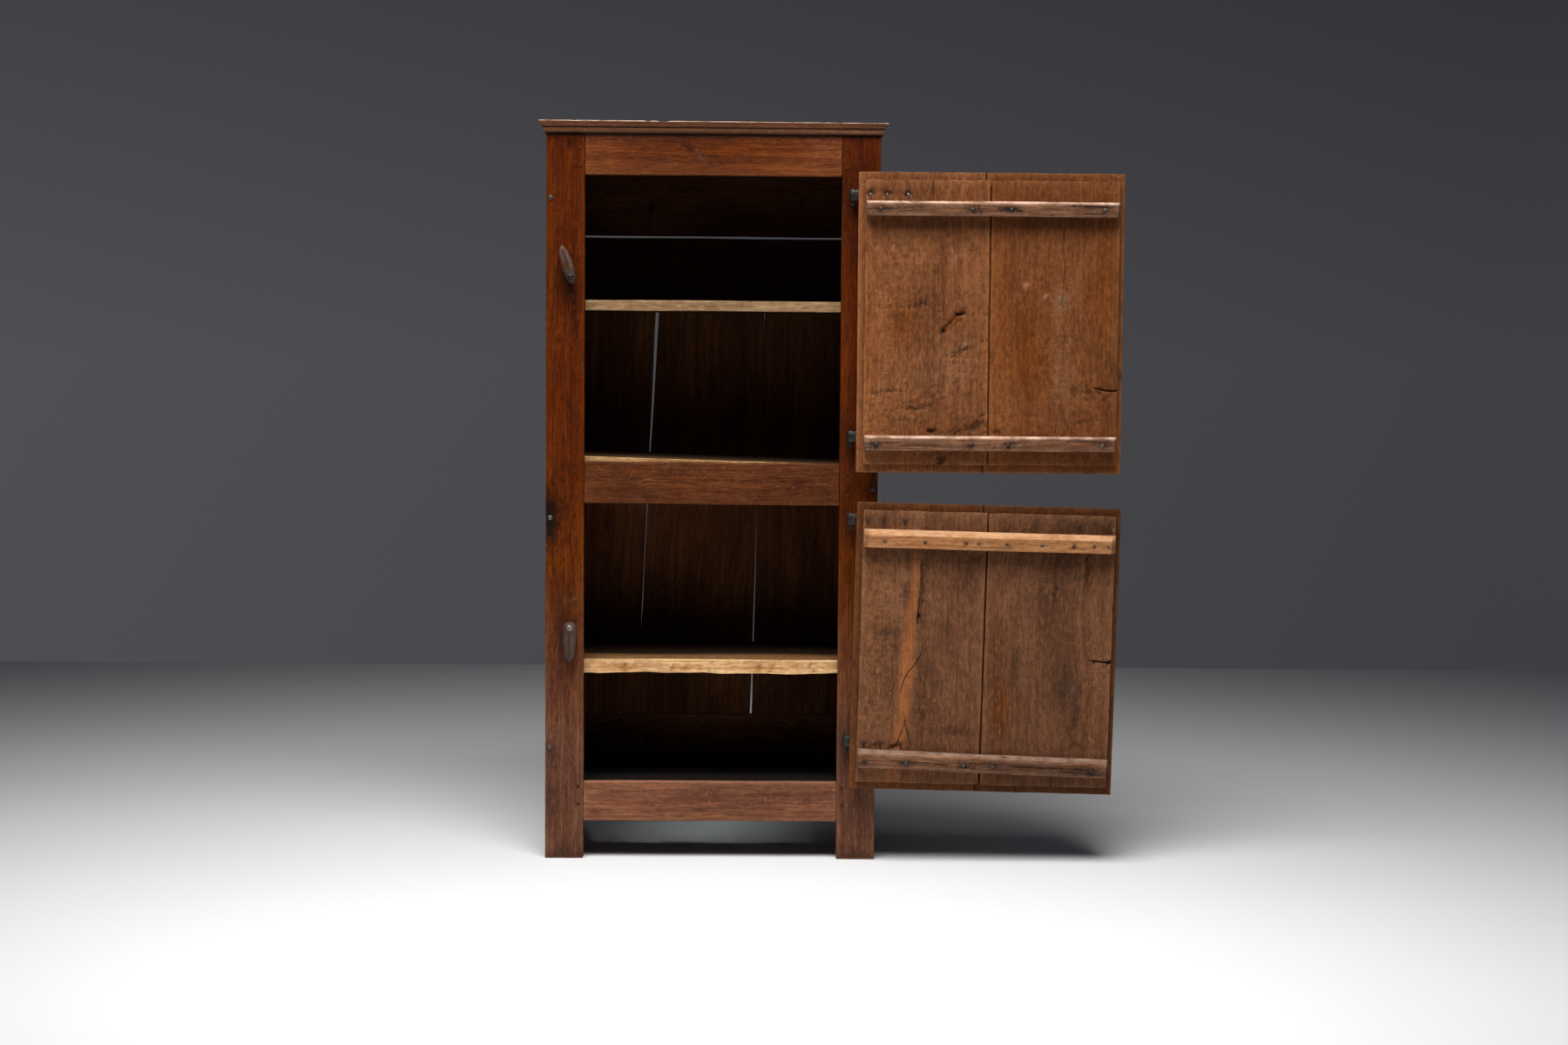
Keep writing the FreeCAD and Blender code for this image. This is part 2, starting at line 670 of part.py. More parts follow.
# Doors. Each is laid out from its hinge axis, standing open, with its outer face to the back.
outer_y = "0 - " + eye_radius
lip_y = outer_y + " - lip_thickness"
inner_y = outer_y + " - door_thickness"
door_width = "(%s + hinge_lap + latch_lap)" % opening


def set_door(thing, door):
    """Puts a piece laid out from the hinge axis at its door.

    A leaning axis lets the open door sag twice as far.
    """
    turn(thing, (0, 1, 0), "2 * %s_hinge_lean" % door)
    place(thing, DOORS[door]["x"], axis_y, DOORS[door]["z"])


BATTEN_NAILS = {
    "upper_top": (0.057, 0.418, 0.571, 0.939),
    "upper_bottom": (0.048, 0.421, 0.569, 0.941),
    "lower_top": (0.083, 0.243, 0.405, 0.454, 0.568, 0.707, 0.832, 0.912, 0.969),
    "lower_bottom": (0.03, 0.194, 0.424, 0.54, 0.934),
}
for door in ("upper", "lower"):
    gap = door + "_pin_gap"
    tall = DOORS[door]["height"]
    lip_low = "(%s_bottom_lap + %s_bottom_gap)" % (door, door)
    lip_high = "(%s_top_lap + %s_top_gap)" % (door, door)
    field_tall = "%s - %s - %s" % (tall, lip_low, lip_high)
    field_start = gap + " + hinge_lap + hinge_field_gap"
    field_end = "%s + %s - latch_lap - latch_field_gap" % (gap, door_width)
    joint = gap + " + hinge_board_width"
    batten_start = field_start + " + batten_hinge_inset"
    batten_long = "(%s - batten_latch_inset - (%s))" % (field_end, batten_start)

    # Nails through the straps, clenched downwards on the inner face. They follow the lean of the hinge axis.
    # The upper door's lower strap lies behind a batten, so its nails end in the batten instead.
    strap_holes = []
    buried_holes = []
    strap_nails = []
    for level in ("high", "low"):
        name = "%s_door_%s_strap" % (door, "top" if level == "high" else "bottom")
        outline = (
            ("0", "0 - strap_width / 2"),
            ("strap_shoulder", "0 - strap_width / 2"),
            ("strap_taper", "0 - strap_tip_width / 2"),
            ("strap_length", "0 - strap_point_width / 2"),
            ("strap_length", "strap_point_width / 2"),
            ("strap_taper", "strap_tip_width / 2"),
            ("strap_shoulder", "strap_width / 2"),
            ("0", "strap_width / 2"),
        )
        plate = padded(name + "_plate", outline, "strap_thickness")
        plate.Placement.Rotation = FreeCAD.Rotation(FreeCAD.Vector(1, 0, 0), 90.0)
        place(plate, "0", outer_y + " + strap_thickness", "0")
        eye = rod(name + "_eye", eye_radius, "strap_width", ("0", "0", "0 - strap_width / 2"))
        bore = rod(name + "_bore", "pin_radius + hinge_clearance", "strap_width + 2 * " + OVERCUT,
                   ("0", "0", "0 - strap_width / 2 - " + OVERCUT))
        tools = [bore]
        for spot in ("first", "second", "third"):
            tag = "_".join((door, level, spot))
            x = "strap_nail_" + spot
            buried = (door, level) == ("upper", "low")
            bite = "strap_bite" if buried else "clench_height"
            long = "strap_thickness + door_thickness + " + bite
            head_y = outer_y + " + strap_thickness"
            tools.append(through("strap_plate_hole_" + tag, "strap_nail_radius + nail_clearance",
                                 "strap_thickness + 2 * " + OVERCUT, (x, outer_y + " - " + OVERCUT, "0")))
            # The same spot seen from the axis, once the lean is taken out of the door's own turn
            deep = HINGES[door, level]
            lean = door + "_hinge_lean"
            spot_x = "%s * cos(%s) - %s * sin(%s)" % (x, lean, deep, lean)
            spot_z = "%s * sin(%s) + %s * cos(%s)" % (x, lean, deep, lean)
            hole = through("strap_hole_" + tag, "strap_nail_radius + nail_clearance",
                           "door_thickness + hole_spare + %s + %s" % (OVERCUT, bite),
                           (spot_x, inner_y + " - hole_spare - " + bite, spot_z))
            strap_holes.append(hole)
            if buried:
                buried_holes.append(hole)
            shank = through("strap_shank_" + tag, "strap_nail_radius", long, ("0", "0 - (%s)" % long, "0"))
            head = doc.addObject("Part::Cone", "strap_head_" + tag)
            bind(head, "Radius1", "strap_head_radius")
            bind(head, "Radius2", "strap_head_crown")
            bind(head, "Height", "strap_head_height")
            head.Placement.Rotation = FreeCAD.Rotation(FreeCAD.Vector(1, 0, 0), -90.0)
            clench = box("clench_" + tag, ("clench_width", "clench_height", "clench_length"),
                         ("0 - clench_width / 2", "0 - (%s)" % long, "clench_width / 2 - clench_length"))
            one = join("strap_nail_" + tag, [shank, head] if buried else [shank, head, clench])
            place(one, spot_x, head_y, spot_z)
            strap_nails.append(one)
        strap = cut(name, join(name + "_blank", [plate, eye]), tools)
        turn(strap, (0, 1, 0), door + "_hinge_lean")
        place(strap, *on_axis(door, HINGES[door, level]))
    set_door(group("%s_door_strap_nails" % door, strap_nails), door)

    # Battens and their nails
    nail_holes = []
    batten_nails = []
    for level in ("top", "bottom"):
        name = "%s_door_%s_batten" % (door, level)
        high = door + "_batten_height"
        low = door + "_bottom_batten"
        if level == "top":
            low = "(%s - %s_top_batten_drop - %s_batten_height)" % (tall, door, door)
        slope = "lower_batten_slope" if (door, level) == ("lower", "bottom") else "0"
        outline = (
            ("0", "0"),
            ("0", high),
            ("batten_bevel_depth - batten_thickness", high),
            ("0 - batten_thickness", high + " - %s_batten_bevel" % door),
            ("0 - batten_thickness", "0"),
        )
        bar = padded(name + "_bar", outline, batten_long)
        bar.Placement.Rotation = FreeCAD.Rotation(FreeCAD.Vector(1, 1, 1), 120.0)
        sloped = group(name + "_sloped", [bar])
        turn(sloped, (0, 1, 0), slope)
        place(sloped, batten_start, inner_y, low)
        holes = []
        for number, share in enumerate(BATTEN_NAILS["%s_%s" % (door, level)]):
            tag = "%s_%s_%d" % (door, level, number)
            along = "%s * %s" % (batten_long, share)
            x = "%s + %s * cos(%s) + nail_line * sin(%s)" % (batten_start, along, slope, slope)
            z = "%s - %s * sin(%s) + nail_line * cos(%s)" % (low, along, slope, slope)
            holes.append(through("batten_hole_" + tag, "batten_nail_radius + nail_clearance",
                                 "batten_nail_length + hole_spare + " + OVERCUT,
                                 (x, inner_y + " - batten_thickness - " + OVERCUT, z)))
            batten_nails.append(nail("batten_nail_" + tag, "batten_nail_radius", "batten_nail_length",
                                     "batten_head_radius", "batten_head_crown", "batten_head_height",
                                     (x, inner_y + " - batten_thickness", z), "90"))
        nail_holes += holes
        set_door(cut(name, sloped, holes + (buried_holes if level == "bottom" else [])), door)
    set_door(group("%s_door_batten_nails" % door, batten_nails), door)

    # Boards: a lip layer on the outer side and a field layer inside it, with the layers lapped at the joint
    for side in ("hinge", "latch"):
        name = "%s_door_%s_board" % (door, side)
        if side == "hinge":
            lip_x, lip_long = gap, "hinge_board_width - half_lap"
            field_x, field_long = field_start, "%s - (%s)" % (joint, field_start)
        else:
            lip_x, lip_long = joint + " - half_lap", "%s - hinge_board_width + half_lap" % door_width
            field_x, field_long = joint, "%s - (%s)" % (field_end, joint)
        lip = box(name + "_lip", (lip_long, "lip_thickness", tall), (lip_x, lip_y, "0"))
        field = box(name + "_field", (field_long, "door_thickness - lip_thickness", field_tall),
                    (field_x, inner_y, lip_low))
        tools = nail_holes + (strap_holes if side == "hinge" else [])
        set_door(cut(name, join(name + "_blank", [lip, field]), tools), door)

doc.recompute()

NODES = (
    ["stile_left", "stile_right", "rail_top", "rail_middle", "rail_bottom", "frame_pegs", "frame_nails"]
    + ["side_left_front", "side_left_rear", "side_right_front", "side_right_rear"]
    + ["top_board_front", "top_board_rear", "cornice_front", "cornice_left", "cornice_right"]
    + ["shelf_upper", "shelf_middle", "shelf_lower", "bottom_board"]
    + ["cleat_%s_%s" % (shelf, side) for shelf in UNDERS for side in ("left", "right")]
    + ["back_board_" + board for board in ("top", "second", "left", "middle", "right")]
    + ["back_rail_bottom", "back_nails"]
    + ["pintle_%s_%s" % pair for pair in PINTLES]
    + ["pivot_nail_upper", "pivot_nail_lower", "turn_button_upper", "turn_button_lower"]
)
for door in ("upper", "lower"):
    for piece in ("hinge_board", "latch_board", "top_batten", "bottom_batten", "batten_nails", "top_strap",
                  "bottom_strap", "strap_nails"):
        NODES.append("%s_door_%s" % (door, piece))

for thing in doc.Objects:
    if "Invalid" in thing.State or "Error" in thing.State:
        raise RuntimeError("not rebuilt: " + thing.Name)
os.makedirs("parts", exist_ok=True)
for name in NODES:
    shape = doc.getObject(name).Shape
    if shape.isNull() or not shape.isValid():
        raise RuntimeError("no sound shape: " + name)
    shape.exportStep("parts/%s.step" % name)
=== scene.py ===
import json
import math

import bpy
import numpy as np
from mathutils import Matrix, Vector


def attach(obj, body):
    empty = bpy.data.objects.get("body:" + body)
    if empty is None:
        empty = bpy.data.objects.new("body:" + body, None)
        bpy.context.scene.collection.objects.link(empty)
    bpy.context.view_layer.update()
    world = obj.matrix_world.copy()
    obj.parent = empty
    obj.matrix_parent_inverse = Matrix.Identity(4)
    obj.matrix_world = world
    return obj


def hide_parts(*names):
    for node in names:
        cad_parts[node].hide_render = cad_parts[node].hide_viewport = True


# A rustic plank cupboard: weathered boards, forged iron and worn edges around its solid model.
# Metres throughout. X runs right, Y to the back, Z up, and MM turns millimetres into metres.

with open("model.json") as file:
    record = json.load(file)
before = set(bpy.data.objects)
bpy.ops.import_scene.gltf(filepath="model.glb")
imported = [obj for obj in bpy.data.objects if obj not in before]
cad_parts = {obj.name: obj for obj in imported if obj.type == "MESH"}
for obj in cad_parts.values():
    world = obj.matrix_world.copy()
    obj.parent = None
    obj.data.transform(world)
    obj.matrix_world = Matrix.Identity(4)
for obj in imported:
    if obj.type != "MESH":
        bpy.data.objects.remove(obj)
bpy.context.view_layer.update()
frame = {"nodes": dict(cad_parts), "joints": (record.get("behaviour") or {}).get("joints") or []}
MM = 0.001
X, Y, Z = 0, 1, 2
FRONT, BACK, UP = (0, -1, 0), (0, 1, 0), (0, 0, 1)
HERE = Matrix.Identity(4)
DOORS = ("upper", "lower")
JOINTS = {joint["name"]: joint for joint in frame["joints"]}


# Reading the frame

SAME_LEVEL = 0.3 * MM
SAME_SPOT_DIGITS = 5


def corners_of(node, place=HERE):
    """The points of a CAD node, seen from a placed frame."""
    mesh = frame["nodes"][node].data
    flat = np.empty(3 * len(mesh.vertices), np.float32)
    mesh.vertices.foreach_get("co", flat)
    inverse = np.array(place.inverted())
    return flat.reshape(-1, 3) @ inverse[:3, :3].T + inverse[:3, 3]


def box_of(node, place=HERE):
    points = corners_of(node, place)
    return points.min(0), points.max(0)


def face_of(node, axis, end, place=HERE):
    """The box of the points on one outer face of a node: end 0 is its low side, end 1 its high side."""
    points = corners_of(node, place)
    level = (points.min(0), points.max(0))[end][axis]
    points = points[abs(points[:, axis] - level) < SAME_LEVEL]
    return points.min(0), points.max(0)


def solids_of(node, place=HERE):
    """The box of each separate solid in a node."""
    mesh = frame["nodes"][node].data
    mesh.calc_loop_triangles()
    rounded = np.round(corners_of(node, place), SAME_SPOT_DIGITS)
    spots, which = np.unique(rounded, axis=0, return_inverse=True)
    corners = which.reshape(-1)[np.array([face.vertices for face in mesh.loop_triangles])]
    label = np.arange(len(spots))
    while True:
        least = label[corners].min(axis=1)
        after = label.copy()
        for corner in corners.T:
            np.minimum.at(after, corner, least)
        if (after == label).all():
            break
        label = after
    return [(spots[label == one].min(0), spots[label == one].max(0)) for one in np.unique(label)]


def hinge_place(door, turns):
    """A frame at a door's hinge axis, turned by a number of times the axis's lean to the right."""
    joint = JOINTS[door + "_door_hinge"]
    lean = math.asin(-joint["axis"][X])
    return Matrix.Translation(joint["pos_m"]) @ Matrix.Rotation(turns * lean, 4, "Y")


# An open door leans twice as far as its axis
DOOR_PLACES = {door: hinge_place(door, 2) for door in DOORS}


# Random fields and smooth steps

WAVE_COUNT = 16


def waves(points, length, seed):
    """A smooth random field of crossed waves about one length long, mostly from -1 to 1."""
    draw = np.random.default_rng(seed)
    way = draw.normal(size=(WAVE_COUNT, 3))
    way /= np.linalg.norm(way, axis=1, keepdims=True)
    way *= 2 * math.pi / length * draw.uniform(0.6, 1.5, (WAVE_COUNT, 1))
    phase = draw.uniform(0, 2 * math.pi, WAVE_COUNT)
    return np.cos(points @ way.T + phase).sum(axis=1) / math.sqrt(WAVE_COUNT)


def mixed_waves(points, parts, seed):
    """The sum of several fields of waves, each given by its length and its share."""
    return sum(share * waves(points, length, seed + number) for number, (length, share) in enumerate(parts))


def rising(values, start, end):
    """0 up to the start, 1 from the end on, and a straight line between them."""
    return np.clip((values - start) / (end - start), 0, 1)


def bell(values, middle, width):
    """1 in the middle, falling away smoothly on both sides."""
    return np.exp(-((values - middle) / width) ** 2)


# Closed surfaces

class Shell:
    """A closed surface with what the finish reads at each point.

    wood is the place in the tree (across, through, along), the wear layer is (worn arris, also painted
    highlight in places; stain, also painted shade in places; knot), cast is (tone, warmth, pale wood),
    whose tone also carries painted light and shade in places, and rays is how strongly ray flecks show.
    """

    def __init__(self, points, faces):
        self.points = np.array(points, float)
        self.faces = faces
        self.out = np.zeros_like(self.points)
        self.wood = self.points.copy()
        self.wear_and_shade = np.zeros_like(self.points)
        self.cast = np.zeros_like(self.points)
        self.rays = np.ones(len(self.points))

    def shade(self, tone, warmth=0.0):
        """Makes the piece lighter and warmer, by one amount or by an amount for each point."""
        self.cast[:, 0] += tone
        self.cast[:, 1] += warmth


# Grid lines across a split, in widths of the split
SPLIT_LINES = np.array([-3.0, -1.2, -0.5, 0.0, 0.5, 1.2, 3.0])
# How far round a split the grid is bent, and how long its closing ends are
SPLIT_PULL, SPLIT_FADE = 40 * MM, 14 * MM


class Crack:
    """A split through given points (along, across), in metres, on the two named axes."""

    def __init__(self, along, across, path, width, depth):
        self.along, self.across, self.width, self.depth = along, across, width, depth
        path = np.array(sorted(path))
        self.way, self.side = path[:, 0], path[:, 1]
        self.middle = self.side.mean()

    def lines(self):
        return self.middle + self.width * SPLIT_LINES

    def path_at(self, points):
        return np.interp(points[:, self.along], self.way, self.side)

    def bend(self, points):
        """Moves the grid lines near the split so that one of them runs along it."""
        pull = bell(points[:, self.across], self.middle, SPLIT_PULL)
        points[:, self.across] += (self.path_at(points) - self.middle) * pull

    def depth_at(self, points):
        inside = np.minimum(points[:, self.along] - self.way[0], self.way[-1] - points[:, self.along])
        open_share = np.clip(inside / SPLIT_FADE + 0.6, 0, 1)
        return self.depth * bell(points[:, self.across], self.path_at(points), self.width) * open_share


# Grid lines near the end of a side: in widths of its worn arris, or in shares of a side too short for that
NEAR_END = np.array([0.0, 0.3, 1.0, 2.0])
SHORT_END = np.array([0.0, 0.08, 0.2, 0.35])
LEAST_STEP = 0.4 * MM


def lines(length, step, worn, extra=()):
    """Grid lines along a side: close together at its worn ends, and at any extra places."""
    near = length * SHORT_END if length < 5 * worn else worn * NEAR_END
    count = max(1, round((length - 2 * near[-1]) / step))
    middle = np.linspace(near[-1], length - near[-1], count + 1)
    found = np.concatenate([near[:-1], middle, length - near[:-1]])
    extra = [place for place in extra if worn < place < length - worn]
    if extra:
        found = found[[min(abs(place - np.array(extra))) > LEAST_STEP for place in found]]
    return np.sort(np.concatenate([found, extra]))


def box_surface(grid):
    """Points and faces of a closed box with grid lines along its three sides."""
    surface = np.zeros([len(side) for side in grid], bool)
    for axis in range(3):
        np.moveaxis(surface, axis, 0)[[0, -1]] = True
    index = np.full(surface.shape, -1)
    index[surface] = np.arange(surface.sum())
    points = np.stack(np.meshgrid(*grid, indexing="ij"), axis=-1)[surface]
    faces = []
    for axis in range(3):
        for end in (0, -1):
            sheet = np.take(index, end, axis)
            corners = (sheet[:-1, :-1], sheet[1:, :-1], sheet[1:, 1:], sheet[:-1, 1:])
            quads = np.stack(corners, -1).reshape(-1, 4)
            inward = (end == 0) != (axis == Y)
            faces += (quads[:, ::-1] if inward else quads).tolist()
    return points, faces


# How far the middle of the tree lies from the board, across it and behind it
PITH = {"quarter": (0.23, 0.02), "rift": (0.13, 0.09), "flat": (0.015, 0.06)}
# Waves of the arrises' radius and of the hollows in the faces: lengths and shares
ARRIS_WAVES = ((110 * MM, 0.30), (24 * MM, 0.25))
HOLLOW_WAVES = ((60 * MM, 0.35), (16 * MM, 0.15))
# Along the grain, the grid is wider and the hollows are longer
GRAIN_STEP, GRAIN_STRETCH = 1.3, 0.16
THROUGH_STEP = 7 * MM
ARRIS_FADE = 7 * MM
# How far a board's place in the tree sways across and behind, each over a length, and how far it leans
SWAY, SWAY_LENGTH, BOW, BOW_LENGTH, LEAN = 5 * MM, 0.55, 3 * MM, 0.4, 0.012
TONE_SPREAD = 0.08


def board(low, high, grain, face, seed, sawn, step, worn, dip, cracks=(), middle=None, ridges=()):
    """A weathered board: uneven rounded arrises, and faces that are never quite flat.

    grain and face are the axes along and through the board, worn is the widest radius of its arrises,
    dip is the depth of its hollows, and ridges are further grid lines, each an axis and a place.
    """
    low, high = np.array(low, float), np.array(high, float)
    cross = 3 - grain - face
    steps = {grain: GRAIN_STEP * step, cross: step, face: THROUGH_STEP}
    grid = []
    for axis in range(3):
        extra = [place for crack in cracks if crack.across == axis for place in crack.lines()]
        extra += [place for ridge_axis, place in ridges if ridge_axis == axis]
        extra = np.array(extra) - low[axis]
        grid.append(low[axis] + lines(high[axis] - low[axis], steps[axis], worn, extra))
    points, faces = box_surface(grid)
    for crack in cracks:
        crack.bend(points)
    shell = Shell(points, faces)

    gaps = np.sort(np.minimum(points - low, high - points), axis=1)[:, 1]
    shell.wear_and_shade[:, 0] = np.exp(-gaps / ARRIS_FADE)
    wander = np.clip(0.62 + mixed_waves(points, ARRIS_WAVES, seed + 1), 0.25, 1.0)
    radius = np.clip(worn * wander, 0, 0.45 * (high - low).min())[:, None]
    core = np.clip(points, low + radius, high - radius)
    out = points - core
    shell.out = out / np.linalg.norm(out, axis=1, keepdims=True)
    stretched = points.copy()
    stretched[:, grain] *= GRAIN_STRETCH
    sunk = np.clip(0.5 + mixed_waves(stretched, HOLLOW_WAVES, seed + 3), 0, 1)
    shell.points = core + shell.out * (radius - dip * sunk[:, None])

    # The board's place in the tree sways a little along its length
    draw = np.random.default_rng(seed)
    across, behind = PITH[sawn]
    across *= draw.choice((-1, 1))
    behind *= draw.uniform(0.8, 1.2)
    middle = (low + high) / 2 if middle is None else middle
    slow = np.zeros_like(points)
    slow[:, grain] = points[:, grain]
    shell.wood = np.stack([
        points[:, cross] - middle[cross] + across + SWAY * waves(slow, SWAY_LENGTH, seed + 5),
        points[:, face] - middle[face] + behind + BOW * waves(slow, BOW_LENGTH, seed + 6),
        points[:, grain] + draw.uniform(2, 20),
    ], axis=1)
    shell.wood[:, 0] += LEAN * draw.uniform(-1, 1) * shell.wood[:, 2]
    shell.shade(draw.uniform(-TONE_SPREAD, TONE_SPREAD))
    return shell


def loft(rings, seed=None):
    """A closed surface through rings of points, capped at both ends."""
    rings = np.array(rings, float)
    count, around = rings.shape[:2]
    points = np.concatenate([rings.reshape(-1, 3), [rings[0].mean(0), rings[-1].mean(0)]])
    index = np.arange(count * around).reshape(count, around)
    after = np.roll(index, -1, axis=1)
    faces = np.stack([index[:-1], after[:-1], after[1:], index[1:]], -1).reshape(-1, 4).tolist()
    first_cap, last_cap = index.size, index.size + 1
    for spot in range(around):
        faces.append([first_cap, int(after[0, spot]), spot])
        faces.append([last_cap, int(index[-1, spot]), int(after[-1, spot])])
    # Whichever way the rings run, the faces look outwards
    corners = points[np.array([(face + face[-1:])[:4] for face in faces])] - points.mean(0)
    first, second, third, fourth = np.moveaxis(corners, 1, 0)
    if np.sum(first * (np.cross(second, third) + np.cross(third, fourth))) < 0:
        faces = [face[::-1] for face in faces]
    shell = Shell(points, faces)
    if seed is not None:
        shell.wood = points + np.random.default_rng(seed).uniform(1, 9, 3)
    return shell


SHARP_DEGREES = 48.0


def make(node, shells, body, finish, place=HERE, smooth=True):
    """Turns shells into one piece that rides on a body and stands for a CAD node."""
    name = "aged_" + node
    mesh = bpy.data.meshes.new(name)
    faces, start = [], 0
    for shell in shells:
        faces += [[corner + start for corner in face] for face in shell.faces]
        start += len(shell.points)
    mesh.from_pydata(np.concatenate([shell.points for shell in shells]).tolist(), [], faces)
    for title in ("wood", "wear_and_shade", "cast"):
        values = np.concatenate([getattr(shell, title) for shell in shells])
        layer = mesh.attributes.new(title, "FLOAT_VECTOR", "POINT")
        layer.data.foreach_set("vector", values.astype(np.float32).ravel())
    rays = np.concatenate([shell.rays for shell in shells])
    mesh.attributes.new("rays", "FLOAT", "POINT").data.foreach_set("value", rays.astype(np.float32))
    mesh.polygons.foreach_set("use_smooth", [smooth] * len(mesh.polygons))
    mesh.set_sharp_from_angle(angle=math.radians(SHARP_DEGREES))
    mesh.transform(place)
    mesh.update()
    mesh.materials.append(FINISH[finish])
    piece = bpy.data.objects.new(name, mesh)
    bpy.context.scene.collection.objects.link(piece)
    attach(piece, body)
    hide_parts(node)


# Finishes

class Nodes:
    """Makes the nodes of one tree, a call for each."""

    def __init__(self, tree):
        self.tree = tree

    def add(self, kind, inputs, result=0, **settings):
        node = self.tree.nodes.new("ShaderNode" + kind)
        for key, value in settings.items():
            setattr(node, key, value)
        for key, value in inputs.items():
            if isinstance(value, bpy.types.NodeSocket):
                self.tree.links.new(value, node.inputs[key])
            else:
                node.inputs[key].default_value = value
        return node.outputs[result]

    def math(self, operation, first, second=0.0):
        return self.add("Math", {0: first, 1: second}, operation=operation)

    def times(self, first, second):
        return self.math("MULTIPLY", first, second)

    def noise(self, vector, scale, detail=2.0, roughness=0.5, distortion=0.0):
        return self.add("TexNoise", {"Vector": vector, "Scale": scale, "Detail": detail,
                                     "Roughness": roughness, "Distortion": distortion})

    def bands(self, place, scale):
        return self.add("TexNoise", {"W": place, "Scale": scale, "Detail": 2.0}, noise_dimensions="1D")

    def scaled(self, vector, factors):
        return self.add("VectorMath", {0: vector, 1: factors}, operation="MULTIPLY")

    def between(self, value, low, high, start=0.0, end=1.0):
        return self.add("MapRange", {"Value": value, 1: low, 2: high, 3: start, 4: end})

    def mix(self, share, first, second):
        return self.add("Mix", {0: share, 6: first, 7: second}, 2, data_type="RGBA")

    def total(self, *parts):
        """The weighted sum of (value, weight) pairs."""
        whole = 0.0
        for value, weight in parts:
            whole = self.math("ADD", self.times(value, weight), whole)
        return whole

    def layer(self, name):
        return self.split(self.add("Attribute", {}, 1, attribute_name=name))

    def place(self):
        return self.add("TexCoord", {}, 3)

    def split(self, vector):
        node = self.tree.nodes.new("ShaderNodeSeparateXYZ")
        self.tree.links.new(vector, node.inputs[0])
        return node.outputs

    def ramp(self, value, stops):
        node = self.tree.nodes.new("ShaderNodeValToRGB")
        self.tree.links.new(value, node.inputs[0])
        elements = node.color_ramp.elements
        while len(elements) < len(stops):
            elements.new(0.5)
        for element, (spot, colour) in zip(elements, stops):
            element.position = spot
            element.color = colour
        return node.outputs[0]

    def bump(self, height, strength):
        return self.add("Bump", {"Height": height, "Strength": strength, "Distance": 1.2 * MM})

    def surface(self, inputs):
        shader = self.add("BsdfPrincipled", inputs)
        end = self.tree.nodes.new("ShaderNodeOutputMaterial")
        self.tree.links.new(shader, end.inputs["Surface"])


def new_material(name):
    material = bpy.data.materials.new(name)
    material.use_nodes = True
    material.node_tree.nodes.clear()
    return material


def rgb(red, green, blue):
    """A colour given in screen values from 0 to 255, as light."""
    screen = (value / 255 for value in (red, green, blue))
    light = [((value + 0.055) / 1.055) ** 2.4 if value > 0.04045 else value / 12.92 for value in screen]
    return (*light, 1.0)


BLACKENED, SAPWOOD, RUST = rgb(24, 14, 9), rgb(184, 108, 54), rgb(78, 46, 30)
# How much year rings, bands of years, streaks, fibres and blotches each add to the figure of a wood
FINE = (0.22, 0.22, 0.55, 0.35, 0.40)
LONG = (0.20, 0.20, 0.36, 0.45, 0.45)
EVEN = (0.16, 0.26, 0.28, 0.30, 0.55)
CALM = (0.18, 0.22, 0.20, 0.30, 0.70)
BOLD = (0.30, 0.42, 0.34, 0.30, 0.40)


